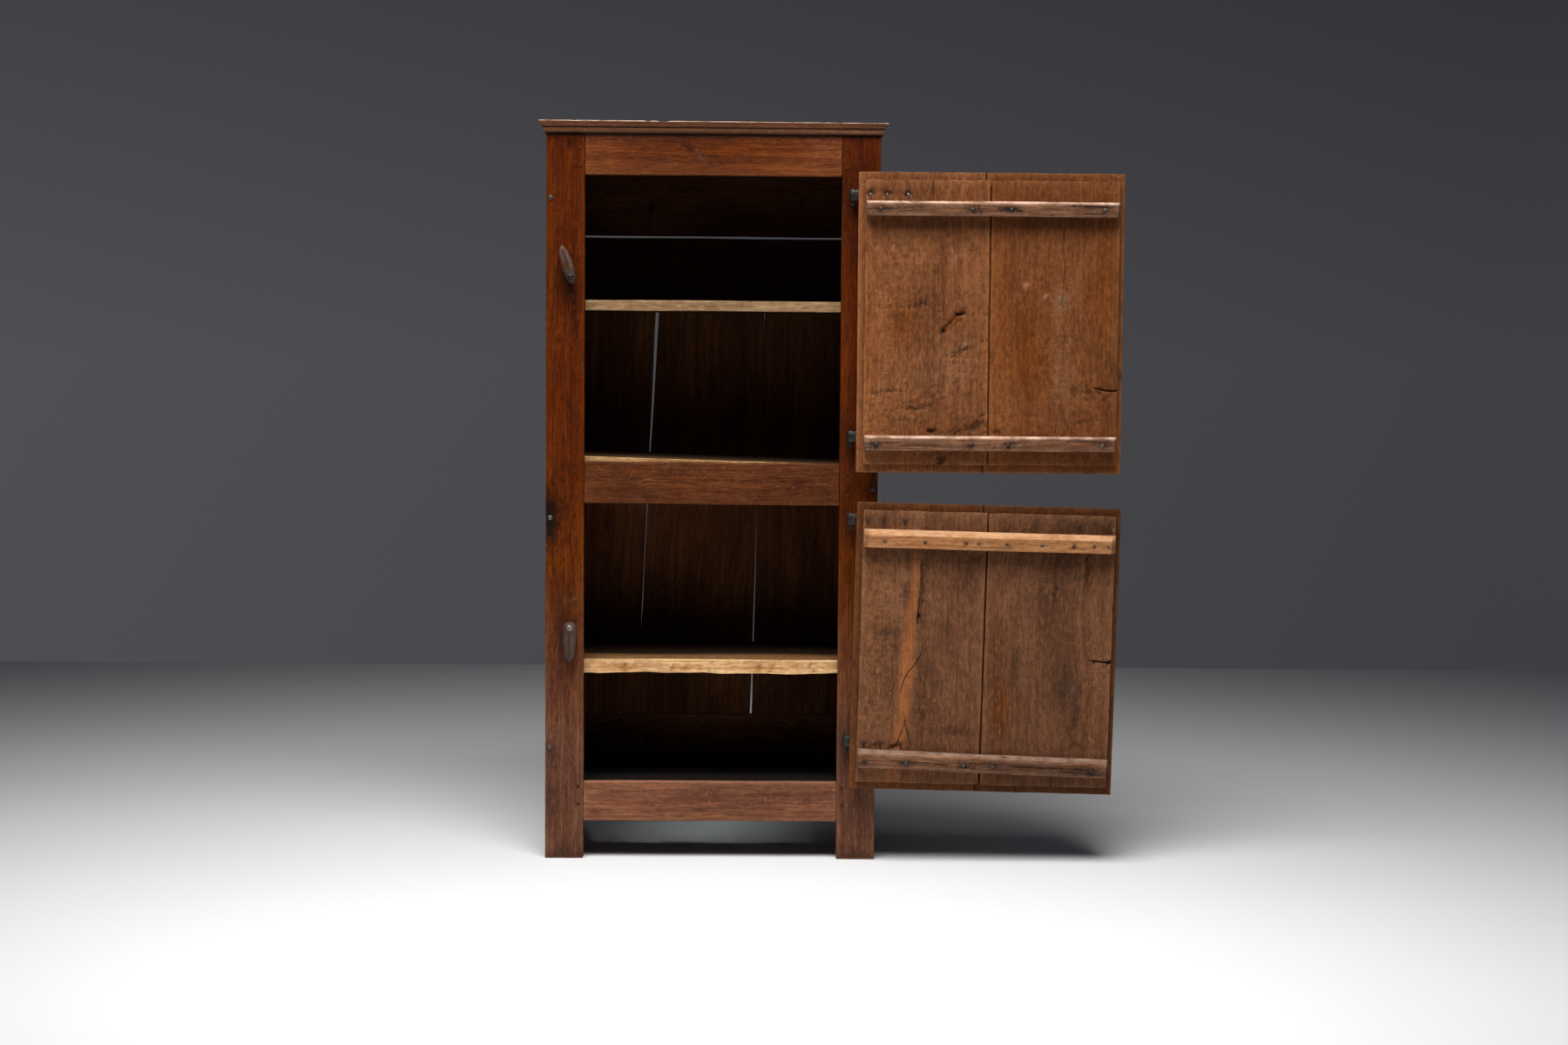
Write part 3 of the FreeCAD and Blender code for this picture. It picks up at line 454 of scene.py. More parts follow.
def wood_finish(name, dark, middle, light, edge, rough, worn_share, fleck, shine, figure, span, rugged,
                stroke, mottle):
    """Oak: year rings from the place in the tree, fibres, pores, ray flecks, stains and worn arrises; the
    stain layer also paints shade, and the arris colour also paints highlights.
    """
    dark, middle, light, edge = (rgb(*colour) for colour in (dark, middle, light, edge))
    material = new_material(name)
    nodes = Nodes(material.node_tree)
    times, between = nodes.times, nodes.between
    wood = nodes.add("Attribute", {}, 1, attribute_name="wood")
    flecked = nodes.add("Attribute", {}, 2, attribute_name="rays")
    arris, stain, knot = nodes.layer("wear_and_shade")
    tone, warmth, pale = nodes.layer("cast")

    def grain(stretch, *values):
        """Noise in the wood, drawn out along the tree."""
        return nodes.noise(nodes.scaled(wood, (1, 1, stretch)), *values)

    radius = nodes.add("VectorMath", {0: nodes.scaled(wood, (1, 1, 0))}, 1, operation="LENGTH")
    turns = nodes.total((radius, 270.0), (grain(0.14, 16, 3), 5.0), (knot, 3.0))
    rings = nodes.bands(turns, 1.0)
    years = nodes.bands(turns, 0.21)
    streak = grain(0.05, 150, 3, 0.6)
    fibre = grain(0.05, 430, 3, 0.65)
    pores = between(grain(0.07, 900, 1), 0.58, 0.70)
    strokes = between(grain(0.06, 330, 2, 0.6), 0.585, 0.66)
    speckle = grain(0.45, 130, 3, 0.65)
    blotch = grain(0.4, 8, 4, 0.6)
    grime = grain(0.6, 34, 4, 0.65)
    torn = times(grain(1.6, 75, 3, 0.6, 0.9), between(blotch, 0.44, 0.60))
    # Rays show as wavy lines that follow each other round, like the lines of a fingerprint
    curl = times(grain(0.6, 9, 2, 0.5, 0.4), 300.0)
    broken = between(grain(0.5, 95, 2, 0.6), 0.43, 0.60)
    rays = times(between(nodes.math("SINE", curl), 0.25, 0.9), broken)

    shape = nodes.total(*zip((rings, years, streak, fibre, blotch), figure))
    centre = 0.5 * sum(figure)
    ends = (max(0.0, centre - span), min(1.0, centre + span))
    colour = nodes.ramp(shape, ((ends[0], dark), (centre, middle), (ends[1], light)))
    # Each layer lies over those before it: its share of the colour, then its own colour
    for share, over in (
        (times(between(speckle, 0.53, 0.66), mottle), light),
        (times(between(speckle, 0.47, 0.34), mottle), dark),
        (times(rays, times(flecked, fleck)), edge),
        (times(pores, 0.4), dark),
        (times(strokes, stroke), dark),
        (times(pale, between(streak, 0.3, 0.6, 0.45, 1.0)), SAPWOOD),
        (times(between(grime, 0.55, 0.75), 0.5), dark),
        (times(knot, 0.75), BLACKENED),
        # The worn arris colour also paints highlights, and the stain layer also paints shade
        (times(arris, between(grime, 0.38, 0.58, 0.15, worn_share)), edge),
        (stain, BLACKENED),
    ):
        colour = nodes.mix(share, colour, over)
    colour = nodes.add("HueSaturation", {
        "Hue": nodes.math("SUBTRACT", 0.5, times(warmth, 0.012)),
        "Saturation": nodes.math("ADD", times(warmth, 0.35), 1.0),
        "Value": nodes.math("ADD", tone, 1.0), "Color": colour,
    })

    height = nodes.total((fibre, 0.5), (rings, 0.25), (pores, -0.6), (strokes, -0.4), (grime, 0.8),
                         (torn, rugged), (speckle, 2.0 * mottle))
    roughness = between(nodes.total((fibre, 0.5), (grime, 0.5)), 0.35, 0.65, *rough)
    nodes.surface({"Base Color": colour, "Roughness": roughness, "Normal": nodes.bump(height, 0.8),
                   "Specular IOR Level": shine})
    return material


def iron_finish(name):
    """Forged iron: dark scale, rubbed high spots, a little rust and hammer marks."""
    material = new_material(name)
    nodes = Nodes(material.node_tree)
    place = nodes.place()
    scale = nodes.noise(place, 160, 4, 0.6)
    rust = nodes.between(nodes.noise(place, 70, 3, 0.6), 0.52, 0.68)
    stops = ((0.3, rgb(46, 41, 38)), (0.52, rgb(88, 81, 76)), (0.75, rgb(138, 130, 122)))
    colour = nodes.mix(nodes.times(rust, 0.55), nodes.ramp(scale, stops), RUST)
    tone = nodes.layer("cast")[0]
    colour = nodes.add("HueSaturation", {"Value": nodes.math("ADD", tone, 1.0), "Color": colour})
    height = nodes.total((scale, 0.6), (nodes.noise(place, 420, 2), 0.3))
    roughness = nodes.between(nodes.total((scale, 0.6), (rust, 0.4)), 0.2, 0.8, 0.38, 0.72)
    nodes.surface({"Base Color": colour, "Roughness": roughness, "Normal": nodes.bump(height, 0.6),
                   "Metallic": 0.5})
    return material


# Dark, middle, light and edge colour, roughness from and to, worn share of the arrises, ray flecks, shine,
# figure and the span of its colours, torn grain, dark strokes, mottle
WOODS = {
    "frame_oak": ((42, 16, 5), (80, 36, 11), (112, 59, 24), (122, 74, 40),
                  (0.42, 0.65), 0.35, 0.12, 0.1, LONG, 0.27, 0.4, 0.35, 0.2),
    # The pale edge colours of the cornice and the battens also paint highlights on their top arrises and
    # bevels
    "cornice_oak": ((66, 38, 22), (114, 70, 44), (148, 100, 68), (240, 208, 182),
                    (0.5, 0.75), 0.95, 0.05, 0.15, LONG, 0.32, 0.3, 0.4, 0.1),
    "carcase_oak": ((30, 16, 8), (72, 41, 21), (104, 66, 38), (84, 52, 32),
                    (0.7, 0.9), 0.4, 0.1, 0.1, EVEN, 0.22, 0.4, 0.3, 0.0),
    "shelf_oak": ((138, 96, 60), (190, 146, 102), (232, 196, 146), (236, 200, 152),
                  (0.65, 0.85), 0.5, 0.1, 0.15, BOLD, 0.25, 0.4, 0.5, 0.5),
    "door_oak": ((80, 46, 26), (120, 75, 46), (150, 100, 65), (166, 114, 76),
                 (0.65, 0.85), 0.7, 0.3, 0.15, CALM, 0.20, 3.0, 0.22, 0.5),
    "batten_oak": ((50, 31, 21), (98, 66, 46), (140, 102, 76), (200, 168, 146),
                   (0.6, 0.85), 0.75, 0.05, 0.15, FINE, 0.24, 0.6, 0.4, 0.2),
    "pale_oak": ((126, 76, 40), (168, 110, 65), (198, 140, 90), (228, 182, 138),
                 (0.6, 0.85), 0.7, 0.05, 0.15, FINE, 0.25, 0.4, 0.5, 0.3),
    "button_oak": ((32, 21, 15), (60, 42, 32), (92, 69, 56), (114, 86, 68),
                   (0.4, 0.65), 0.4, 0.05, 0.3, CALM, 0.3, 0.3, 0.15, 0.2),
}
FINISH = {name: wood_finish(name.replace("_", " "), *values) for name, values in WOODS.items()}
FINISH["forged_iron"] = iron_finish("forged iron")


# Carving on a flat face

RAGGED_WAVES = ((9 * MM, 1.0), (26 * MM, 0.6))
CHIP_WAVES = ((12 * MM, 1.0), (7 * MM, 0.5))
ADZE_STEP = 13 * MM
DARKEST = 0.97
# Torn grain: how much paler its ridges and darker its hollows are, partly wear and dirt and partly painted
# highlight and shade of the relief, and how long a chip is for its height
RIDGE_TONE, CHIP_TONE, CHIP_STRETCH = 0.07, -0.16, 0.45
# A knot's height for its width, and how far it pushes the rings and over how many widths
KNOT_SHAPE, KNOT_PUSH, KNOT_REACH = 1.35, 0.9, 2.6


class Face:
    """One flat face of a board, carved, stained and painted with light and shade by marks in millimetres
    from the face's low corner.

    A mark has a place, its half width and half height before it is turned, an angle in degrees and amounts.
    """

    def __init__(self, shell, normal, low):
        self.shell = shell
        self.axis = int(np.argmax(np.abs(normal)))
        self.axes = [axis for axis in (X, Y, Z) if axis != self.axis]
        self.corner = np.array(low)[self.axes]
        self.sign = normal[self.axis]
        self.on = np.clip(shell.out @ np.array(normal, float) * 2 - 1, 0, 1)
        self.start = shell.points.copy()

    def distance(self, at, wide, tall, angle, ragged, seed):
        """How far each point lies from the middle of a ragged mark, 1 on its edge."""
        turn = math.radians(angle)
        along, up = (self.start[:, self.axes] - self.corner - np.array(at) * MM).T
        first = (along * math.cos(turn) + up * math.sin(turn)) / (wide * MM)
        second = (up * math.cos(turn) - along * math.sin(turn)) / (tall * MM)
        away = np.hypot(first, second)
        near = (away < 4) & (self.on > 0)
        away[near] *= np.maximum(1 + ragged * mixed_waves(self.start[near], RAGGED_WAVES, seed), 0.3)
        return away

    def patch(self, at, wide, tall, angle, seed, ragged=0.2):
        """The share of a soft mark at each point, 1 in its middle."""
        return bell(self.distance(at, wide, tall, angle, ragged, seed), 0, 1)

    def sink(self, depth):
        self.shell.points[:, self.axis] -= self.sign * depth * self.on

    def darken(self, amount):
        self.shell.wear_and_shade[:, 1] = np.clip(self.shell.wear_and_shade[:, 1] + amount * self.on, 0, DARKEST)

    def gouge(self, at, wide, tall, angle, depth, stain, ragged=0.3, *, seed):
        hollow = 1 / (1 + self.distance(at, wide, tall, angle, ragged, seed) ** 5)
        self.sink(depth * MM * hollow)
        self.darken(stain * hollow)

    def roughen(self, at, wide, tall, angle, depth, *, seed):
        """Torn grain: small chips, paler on their ridges than in their hollows, partly as painted highlight
        and shade of their relief.
        """
        patch = self.patch(at, wide, tall, angle, seed)
        near = patch > 0.02
        flat = self.start[near]
        flat[:, self.axes[0]] *= CHIP_STRETCH
        hollow = np.zeros_like(patch)
        hollow[near] = np.clip(0.3 + mixed_waves(flat, CHIP_WAVES, seed + 2), 0, 1.2) * patch[near]
        self.sink(depth * MM * hollow)
        self.shell.shade((RIDGE_TONE * patch + CHIP_TONE * hollow) * self.on)

    def ripple(self, at, wide, tall, angle, depth, *, seed):
        """Shallow marks of an adze, side by side up the board."""
        crest = 0.5 + 0.5 * np.cos(self.start[:, self.axes[1]] * 2 * math.pi / ADZE_STEP)
        self.sink(depth * MM * crest * self.patch(at, wide, tall, angle, seed))

    def split(self, crack, stain):
        depth = crack.depth_at(self.start)
        self.sink(depth)
        self.darken(stain * depth / crack.depth)

    def stain(self, at, wide, tall, angle, amount, *, seed):
        self.darken(amount * self.patch(at, wide, tall, angle, seed, 0.3))

    def sapwood(self, at, wide, tall, angle, amount, *, seed):
        share = np.clip(1.5 - self.distance(at, wide, tall, angle, 0.12, seed), 0, 1)
        self.shell.cast[:, 2] = np.maximum(self.shell.cast[:, 2], amount * self.on * share)

    def tint(self, at, wide, tall, angle, tone, warmth, *, seed):
        share = self.patch(at, wide, tall, angle, seed) * self.on
        self.shell.shade(tone * share, warmth * share)

    def fleck(self, at, wide, tall, angle, amount, *, seed):
        self.shell.rays += amount * self.patch(at, wide, tall, angle, seed) * self.on

    def knot(self, at, radius, dark=1.0, *, seed):
        """A knot, with the rings of the board pushed round it."""
        away = self.distance(at, radius, radius * KNOT_SHAPE, 0, 0.1, seed)
        side = np.sign(self.start[:, self.axes[0]] - self.corner[0] - at[0] * MM)
        heart = dark * np.clip(1.25 - away, 0, 1) * self.on
        self.shell.wear_and_shade[:, 2] = np.maximum(self.shell.wear_and_shade[:, 2], heart)
        self.shell.wood[:, 0] -= side * radius * KNOT_PUSH * MM * bell(away, 0, KNOT_REACH)

    def put(self, marks, seed):
        """Puts marks on the face, each the name of a mark above, its place and its other values."""
        for number, (kind, across, up, *values) in enumerate(marks):
            getattr(self, kind)((across, up), *values, seed=seed + number)


# Face frame

def between_stiles(node):
    """A rail's box without its hidden tenons."""
    low, high = box_of(node)
    low[X] = box_of("stile_left")[1][X]
    high[X] = box_of("stile_right")[0][X]
    return low, high


def tilt(shell, slope, pivot):
    """Slopes a level board along its length, about a place on the X axis."""
    shell.points[:, Z] += slope * (shell.points[:, X] - pivot)


def shade_by_height(shell, heights, tones, warmths):
    height = shell.points[:, Z]
    shell.shade(np.interp(height, heights, tones), np.interp(height, heights, warmths))


CORNICE_FOOT = box_of("cornice_front")[0][Z]


def shadow_under_cornice(face, low, high, seed):
    """A painted shadow along the foot of the cornice."""
    wide = (high[X] - low[X]) / MM
    level = (CORNICE_FOOT - low[Z]) / MM
    face.stain((wide / 2, level - 3), 2 * wide, 6, 0, 0.9, seed=seed)


# Marks of age, with a few painted shadows and painted light: kind, place and size in millimetres from the
# face's low corner, then degrees and amounts
FOOT_MARKS = (("roughen", 45, 20, 70, 26, 0, 1.6), ("stain", 45, 6, 90, 14, 0, 0.55))
STILE_MARKS = {
    "left": (
        ("stain", 8, 792, 26, 66, 0, 1.3), ("stain", 50, 1335, 24, 44, 0, 0.5),
        ("stain", 38, 525, 16, 64, 0, 0.5), ("stain", 6, 150, 8, 60, 0, 0.5),
        # The faint stain at 50, 1290, round and below the upper button, is partly dirt and partly a painted
        # shadow of the button
        ("stain", 12, 252, 14, 34, 0, 0.5), ("stain", 50, 1290, 40, 50, 0, 0.2),
        ("knot", 56, 1650, 9), ("knot", 30, 1205, 7, 0.5),
        ("gouge", 70, 1225, 4, 34, 8, 1.4, 0.6, 0.5), ("gouge", 55, 640, 3, 5, 0, 1.2, 0.5),
        ("gouge", 56, 615, 3, 5, 0, 1.2, 0.6), ("tint", 63, 604, 8, 4, -15, 0.5, -0.5),
    ),
    "right": (
        ("stain", 10, 1535, 18, 60, 0, 0.5), ("stain", 10, 985, 18, 60, 0, 0.5),
        ("stain", 12, 795, 18, 60, 0, 0.5), ("stain", 10, 280, 18, 60, 0, 0.5),
        # The stain at 80, 880 is a painted shadow of the open door above, and the tint at the foot is
        # painted light
        ("stain", 80, 880, 14, 50, 0, 0.5), ("knot", 48, 1080, 8, 0.6),
        ("tint", 48, 60, 90, 150, 0, 0.2, 0.0),
    ),
}
for side, seed in (("left", 21), ("right", 34)):
    node = "stile_" + side
    low, high = box_of(node)
    stile = board(low, high, Z, Y, seed, "rift", 5 * MM, 3.5 * MM, 0.8 * MM)
    # The frame is redder and glossier towards the top, and dry and brown near the floor; low down it is
    # also painted lighter, as painted light standing in for light thrown up from the floor
    shade_by_height(stile, (0.25, 1.0), (0.44, -0.02), (-0.45, 0.65))
    face = Face(stile, FRONT, low)
    face.put(FOOT_MARKS + STILE_MARKS[side], seed)
    # Painted shadow under the cornice
    shadow_under_cornice(face, low, high, seed)
    make(node, [stile], "carcase", "frame_oak")

RAIL_MARKS = {
    "top": (
        ("knot", 240, 62, 8), ("gouge", 258, 42, 5, 26, 40, 1.6, 0.35, 0.5),
        ("tint", 262, 44, 4, 18, 35, 0.9, -0.5), ("roughen", 540, 55, 50, 40, 0, 1.0),
        ("tint", 540, 55, 50, 40, 0, 0.3, -0.1), ("tint", 330, 60, 260, 34, 0, 0.08, 0.1),
    ),
    "middle": (("gouge", 307, 10, 6, 6, 0, 1.2, 0.3, 0.1), ("fleck", 290, 55, 320, 40, 0, 7.0)),
    "bottom": (
        ("tint", 280, 50, 340, 30, 0, 0.04, 0.0), ("knot", 164, 34, 6, 0.2),
        ("tint", 420, 40, 90, 16, 8, -0.15, 0.0), ("fleck", 290, 45, 320, 40, 0, 0.8),
    ),
}
# Name, seed, cut of the board, tone, warmth, and how far use has worn the upper side down
RAILS = (
    ("top", 41, "quarter", 0.38, 0.0, 0.0), ("middle", 52, "flat", -0.04, 0.0, 0.0),
    # The bottom rail's high tone is partly painted light, standing in for light thrown up from the floor
    ("bottom", 63, "flat", 1.12, -0.4, 3.5 * MM),
)
# The middle rail rises to the left
MIDDLE_RAIL_SLOPE = -0.0045
for name, seed, sawn, tone, warmth, worn_down in RAILS:
    node = "rail_" + name
    low, high = between_stiles(node)
    high[Z] -= worn_down
    rail = board(low, high, X, Y, seed, sawn, 5 * MM, 3 * MM, 0.8 * MM)
    rail.shade(tone, warmth)
    face = Face(rail, FRONT, low)
    face.put(RAIL_MARKS[name], seed)
    if name == "top":
        # Painted shadow under the cornice
        shadow_under_cornice(face, low, high, seed)
    if name == "middle":
        tilt(rail, MIDDLE_RAIL_SLOPE, high[X])
    if name == "bottom":
        # The upper side of the bottom rail is painted pale as a highlight
        Face(rail, UP, low).tint((290, 0), 400, 30, 0, 1.0, -0.2, seed=seed)
    make(node, [rail], "carcase", "frame_oak")


# Pegs and nails

def ring(centre, radius, count, seed, axis, wobble, turn=0.0):
    """An uneven ring of points round an axis."""
    draw = np.random.default_rng(seed)
    angle = np.linspace(0, 2 * math.pi, count, endpoint=False) + turn
    reach = radius * (1 + wobble * draw.uniform(-1, 1, count))
    first, second = [a for a in (X, Y, Z) if a != axis]
    points = np.tile(np.array(centre, float), (count, 1))
    points[:, first] += reach * np.cos(angle)
    points[:, second] += reach * np.sin(angle)
    return points


# The rings of a nail head and of a peg: shares of the radius, then of the rise or depths in millimetres
NAIL_DOME = ((0.5, -0.6), (1.0, -0.2), (1.0, 0.25), (0.82, 0.62), (0.45, 0.93), (0.12, 1.0))
PEG_END = ((0.9, 6.0), (1.0, 0.7), (0.85, 0.1), (0.4, 0.0))
NAIL_RISE = 0.5
SMALL_HEAD = 0.66


def nail_head(centre, radius, way, seed, tone=0.0):
    """A hand-forged head: a flattened dome of uneven facets. way is -1 for a head that looks forward."""
    rings = []
    lift = np.random.default_rng(seed).uniform(0.8, 1.0) * NAIL_RISE * radius
    for share, level in NAIL_DOME:
        at = (centre[X], centre[Y] + way * level * lift, centre[Z])
        rings.append(ring(at, share * radius, 9, seed + int(level * 2), Y, 0.09, seed))
    head = loft(rings, seed)
    head.shade(tone)
    return head


def heads(node, way, body, place=HERE, tones=(0.0, 0.5), small=(0.0, 0.0)):
    """The nails of a node. Heads whose height lies in the small range are less wide."""
    shells = []
    for number, (low, high) in enumerate(solids_of(node, place)):
        radius = (high[Z] - low[Z]) / 2
        seat = low[Y] + NAIL_RISE * radius if way < 0 else high[Y] - NAIL_RISE * radius
        centre = ((low[X] + high[X]) / 2, seat, (low[Z] + high[Z]) / 2)
        tone = np.random.default_rng(600 + number).uniform(*tones)
        if small[0] < centre[Z] < small[1]:
            radius *= SMALL_HEAD
        shells.append(nail_head(centre, radius, way, 100 + 7 * number, tone))
    make(node, shells, body, "forged_iron", place, False)


heads("frame_nails", -1, "carcase", tones=(-0.4, 0.2))
heads("back_nails", 1, "carcase")
heads("pivot_nail_upper", -1, "carcase", tones=(-0.8, -0.75))
heads("pivot_nail_lower", -1, "carcase", tones=(1.7, 1.8))

pegs = []
for number, (low, high) in enumerate(solids_of("frame_pegs")):
    x, _, z = (low + high) / 2
    radius = (high[X] - low[X]) / 2
    rings = []
    for share, depth in PEG_END:
        at = (x, low[Y] + depth * MM, z)
        rings.append(ring(at, share * radius, 8, 300 + number, Y, 0.1, number))
    peg = loft(rings, 300 + number)
    peg.shade(0.1)
    peg.wear_and_shade[:, 1] = 0.1
    pegs.append(peg)
make("frame_pegs", pegs, "carcase", "frame_oak", smooth=False)


# Sides, top, back, shelves and cleats

SIDES = (("side_left_front", 71), ("side_left_rear", 72), ("side_right_front", 73), ("side_right_rear", 74))
for node, seed in SIDES:
    low, high = box_of(node)
    side = board(low, high, Z, X, seed, "flat", 7 * MM, 2.5 * MM, 1.2 * MM)
    shade_by_height(side, (0.2, 1.1), (0.05, -0.05), (-0.8, 0.2))
    outward = (-1, 0, 0) if "left" in node else (1, 0, 0)
    knots = (1250, 420) if "front" in node else (620, 1420)
    Face(side, outward, low).put((
        ("knot", 70, knots[0], 13), ("knot", 120, knots[1], 9), ("stain", 90, 10, 140, 26, 0, 0.6),
        ("roughen", 90, 30, 120, 36, 0, 1.6), ("gouge", 40, 900, 5, 60, 6, 1.6, 0.5, 0.5),
    ), seed)
    make(node, [side], "carcase", "frame_oak")

TOP_MARKS = (
    ("knot", 220, 120, 12), ("knot", 560, 70, 9),
    ("stain", 420, 110, 120, 60, 20, 0.4), ("gouge", 330, 150, 60, 3, 4, 1.5, 0.6, 0.4),
)
for node, seed in (("top_board_front", 81), ("top_board_rear", 82)):
    low, high = box_of(node)
    top = board(low, high, X, Z, seed, "flat", 7 * MM, 2 * MM, 1.2 * MM)
    Face(top, UP, low).put(TOP_MARKS, seed)
    make(node, [top], "carcase", "carcase_oak")

# The backs are a lighter tone than the rest of the carcase wood
BACK_TONE = 0.45


def back_board(low, high, grain, seed, marks):
    back = board(low, high, grain, Y, seed, "flat", 6 * MM, 2.5 * MM, 1.4 * MM)
    back.shade(BACK_TONE)
    for normal in (FRONT, BACK):
        Face(back, normal, low).put(marks, seed)
    return back


ACROSS_MARKS = (("knot", 230, 70, 12), ("knot", 590, 90, 9), ("stain", 400, 60, 160, 50, 0, 0.35))
for node, seed in (("back_board_top", 91), ("back_board_second", 92), ("back_rail_bottom", 93)):
    make(node, [back_board(*box_of(node), X, seed, ACROSS_MARKS)], "carcase", "carcase_oak")

# The gap to the left of an upright: shares of its height, and widths in millimetres
UPRIGHT_GAPS = {
    "middle": ((0.0, 0.20, 0.28, 0.45, 0.66, 1.0), (-1.4, -1.4, 0.6, 1.4, 2.2, 6.6)),
    "right": ((0.0, 0.17, 0.32, 0.40, 0.6, 0.92, 1.0), (3.4, 2.2, 1.2, 0.0, -1.4, -1.4, 0.2)),
}
UPRIGHT_MARKS = (
    ("knot", 131, 473, 12, 0.35), ("knot", 60, 250, 10), ("tint", 120, 470, 110, 120, 0, 0.25, 0.1),
    ("stain", 110, 120, 90, 120, 0, 0.4), ("roughen", 100, 900, 80, 60, 0, 1.0),
)
before = None
for name, seed in (("left", 94), ("middle", 95), ("right", 96)):
    node = "back_board_" + name
    low, high = box_of(node)
    foot, head = face_of(node, Z, 0), face_of(node, Z, 1)
    back = back_board(low, high, Z, seed, UPRIGHT_MARKS)
    # The uprights have shrunk apart by an uneven gap, so each left edge follows the board before it
    rise = (back.points[:, Z] - low[Z]) / (high[Z] - low[Z])
    left = foot[0][X] + (head[0][X] - foot[0][X]) * rise
    right = foot[1][X] + (head[1][X] - foot[1][X]) * rise
    if before is not None:
        left = before[0] + (before[1] - before[0]) * rise + np.interp(rise, *UPRIGHT_GAPS[name]) * MM
    before = (foot[1][X], head[1][X])
    share = (back.points[:, X] - low[X]) / (high[X] - low[X])
    back.points[:, X] = left + (right - left) * share
    make(node, [back], "carcase", "carcase_oak")

# Tone and warmth of the front edges of the shelves, and how dark their upper sides are painted as shade
# inside the cupboard; the bottom board's very low tone is painted shade behind the bottom rail
SHELVES = (
    ("shelf_upper", 101, -0.40, 0.05, 0.62), ("shelf_middle", 102, -0.16, 0.3, 0.85),
    ("shelf_lower", 103, 0.2, 0.1, 0.62), ("bottom_board", 104, -0.93, 0.3, 0.62),
)
# From the front edge: where the bare wood ends and where the painted shadow begins and is darkest
BARE, SHADOW_DEPTHS = (2 * MM, 10 * MM), (85 * MM, 120 * MM)
DEEPEST_SHADE = 0.95
# The middle shelf falls to the right, about a place on the X axis
MIDDLE_SHELF_SLOPE, MIDDLE_SHELF_PIVOT = -0.0256, -0.153
SHELF_MARKS = {
    "shelf_upper": (("knot", 430, 12, 7, 0.5), ("stain", 380, 20, 60, 8, 10, 0.3)),
    "shelf_middle": (("tint", 650, 15, 220, 60, 0, -0.45, 0.1),),
    "shelf_lower": (
        ("tint", 160, 8, 16, 9, 0, -0.25, 0.5), ("tint", 300, 10, 20, 8, 0, -0.15, 0.3),
        ("tint", 470, 8, 30, 9, 0, -0.2, 0.4), ("gouge", 500, 26, 60, 1.4, -1, 1.4, 0.5, 0.3),
        ("gouge", 300, 12, 1.6, 9, 0, 1.6, 0.7, 0.3),
    ),
    "bottom_board": (),
}
WANEY_REACH, WANEY_LIFT, WANEY_SETBACK = 40 * MM, 3.5 * MM, 3 * MM
WORM_HOLES = 34


def cut_waney_edge(shelf, face, low, high, seed):
    """A waney front edge, thinner where the bark was cut away, with small dark holes."""
    points = shelf.points
    near = 1 - rising(points[:, Y], low[Y], low[Y] + WANEY_REACH)
    under = 1 - rising(points[:, Z], low[Z], high[Z])
    level = points * (1, 0, 0)
    hollow = np.clip(0.4 + 0.9 * waves(level, 0.32, seed + 5), 0, 1) + 0.25 * waves(level, 0.07, seed + 6)
    points[:, Z] += WANEY_LIFT * hollow * under * near
    points[:, Y] += WANEY_SETBACK * under * near * np.clip(hollow, 0, 1)
    for number in range(WORM_HOLES):
        draw = np.random.default_rng(seed + number)
        at = (draw.uniform(80, 690), draw.uniform(4, 28))
        size = (draw.uniform(1.5, 8), draw.uniform(1.0, 2.0))
        face.gouge(at, *size, draw.uniform(-25, 25), 1.2, 0.6, seed=number)


for node, seed, tone, warmth, inner_shade in SHELVES:
    low, high = box_of(node)
    shelf = board(low, high, X, Z, seed, "flat", 6 * MM, 2.5 * MM, 1.2 * MM)
    # The front edge is bare, the board behind it darker and browner, partly from use and partly as painted
    # shade inside the cupboard, and near black with painted shadow further back
    behind = shelf.points[:, Y] - low[Y]
    brown, in_shadow = rising(behind, *BARE), rising(behind, *SHADOW_DEPTHS)
    shelf.shade((1 + tone) * (1 - 0.4 * brown) - 1, warmth + 0.4 * brown)
    # The stain layer here is painted shade
    shelf.wear_and_shade[:, 1] = inner_shade * brown + (DEEPEST_SHADE - inner_shade) * in_shadow
    face = Face(shelf, FRONT, low)
    if node == "shelf_lower":
        cut_waney_edge(shelf, face, low, high, seed)
    face.put(SHELF_MARKS[node], seed)
    if node == "shelf_middle":
        tilt(shelf, MIDDLE_SHELF_SLOPE, MIDDLE_SHELF_PIVOT)
    make(node, [shelf], "carcase", "shelf_oak")

for shelf_name in ("upper", "middle", "lower", "bottom"):
    for side in ("left", "right"):
        node = "cleat_%s_%s" % (shelf_name, side)
        seed = 110 + len(shelf_name) * 3 + len(side)
        cleat = board(*box_of(node), Y, X, seed, "rift", 6 * MM, 2 * MM, 1.2 * MM)
        make(node, [cleat], "carcase", "carcase_oak")


# Cornice

# Corners of the moulding, as how far out and how far up, in shares of its reach and height
CORNICE_OUT, CORNICE_UP = np.array([
    (0.02, 0.0), (0.20, 0.0), (0.29, 0.06), (0.39, 0.20), (0.45, 0.34), (0.46, 0.42), (0.41, 0.455),
    (0.42, 0.49), (0.54, 0.52), (0.60, 0.58), (0.68, 0.67), (0.77, 0.77), (0.88, 0.85), (0.98, 0.89),
    (1.0, 0.93), (0.97, 0.985), (0.90, 1.0), (0.02, 1.0),
]).T
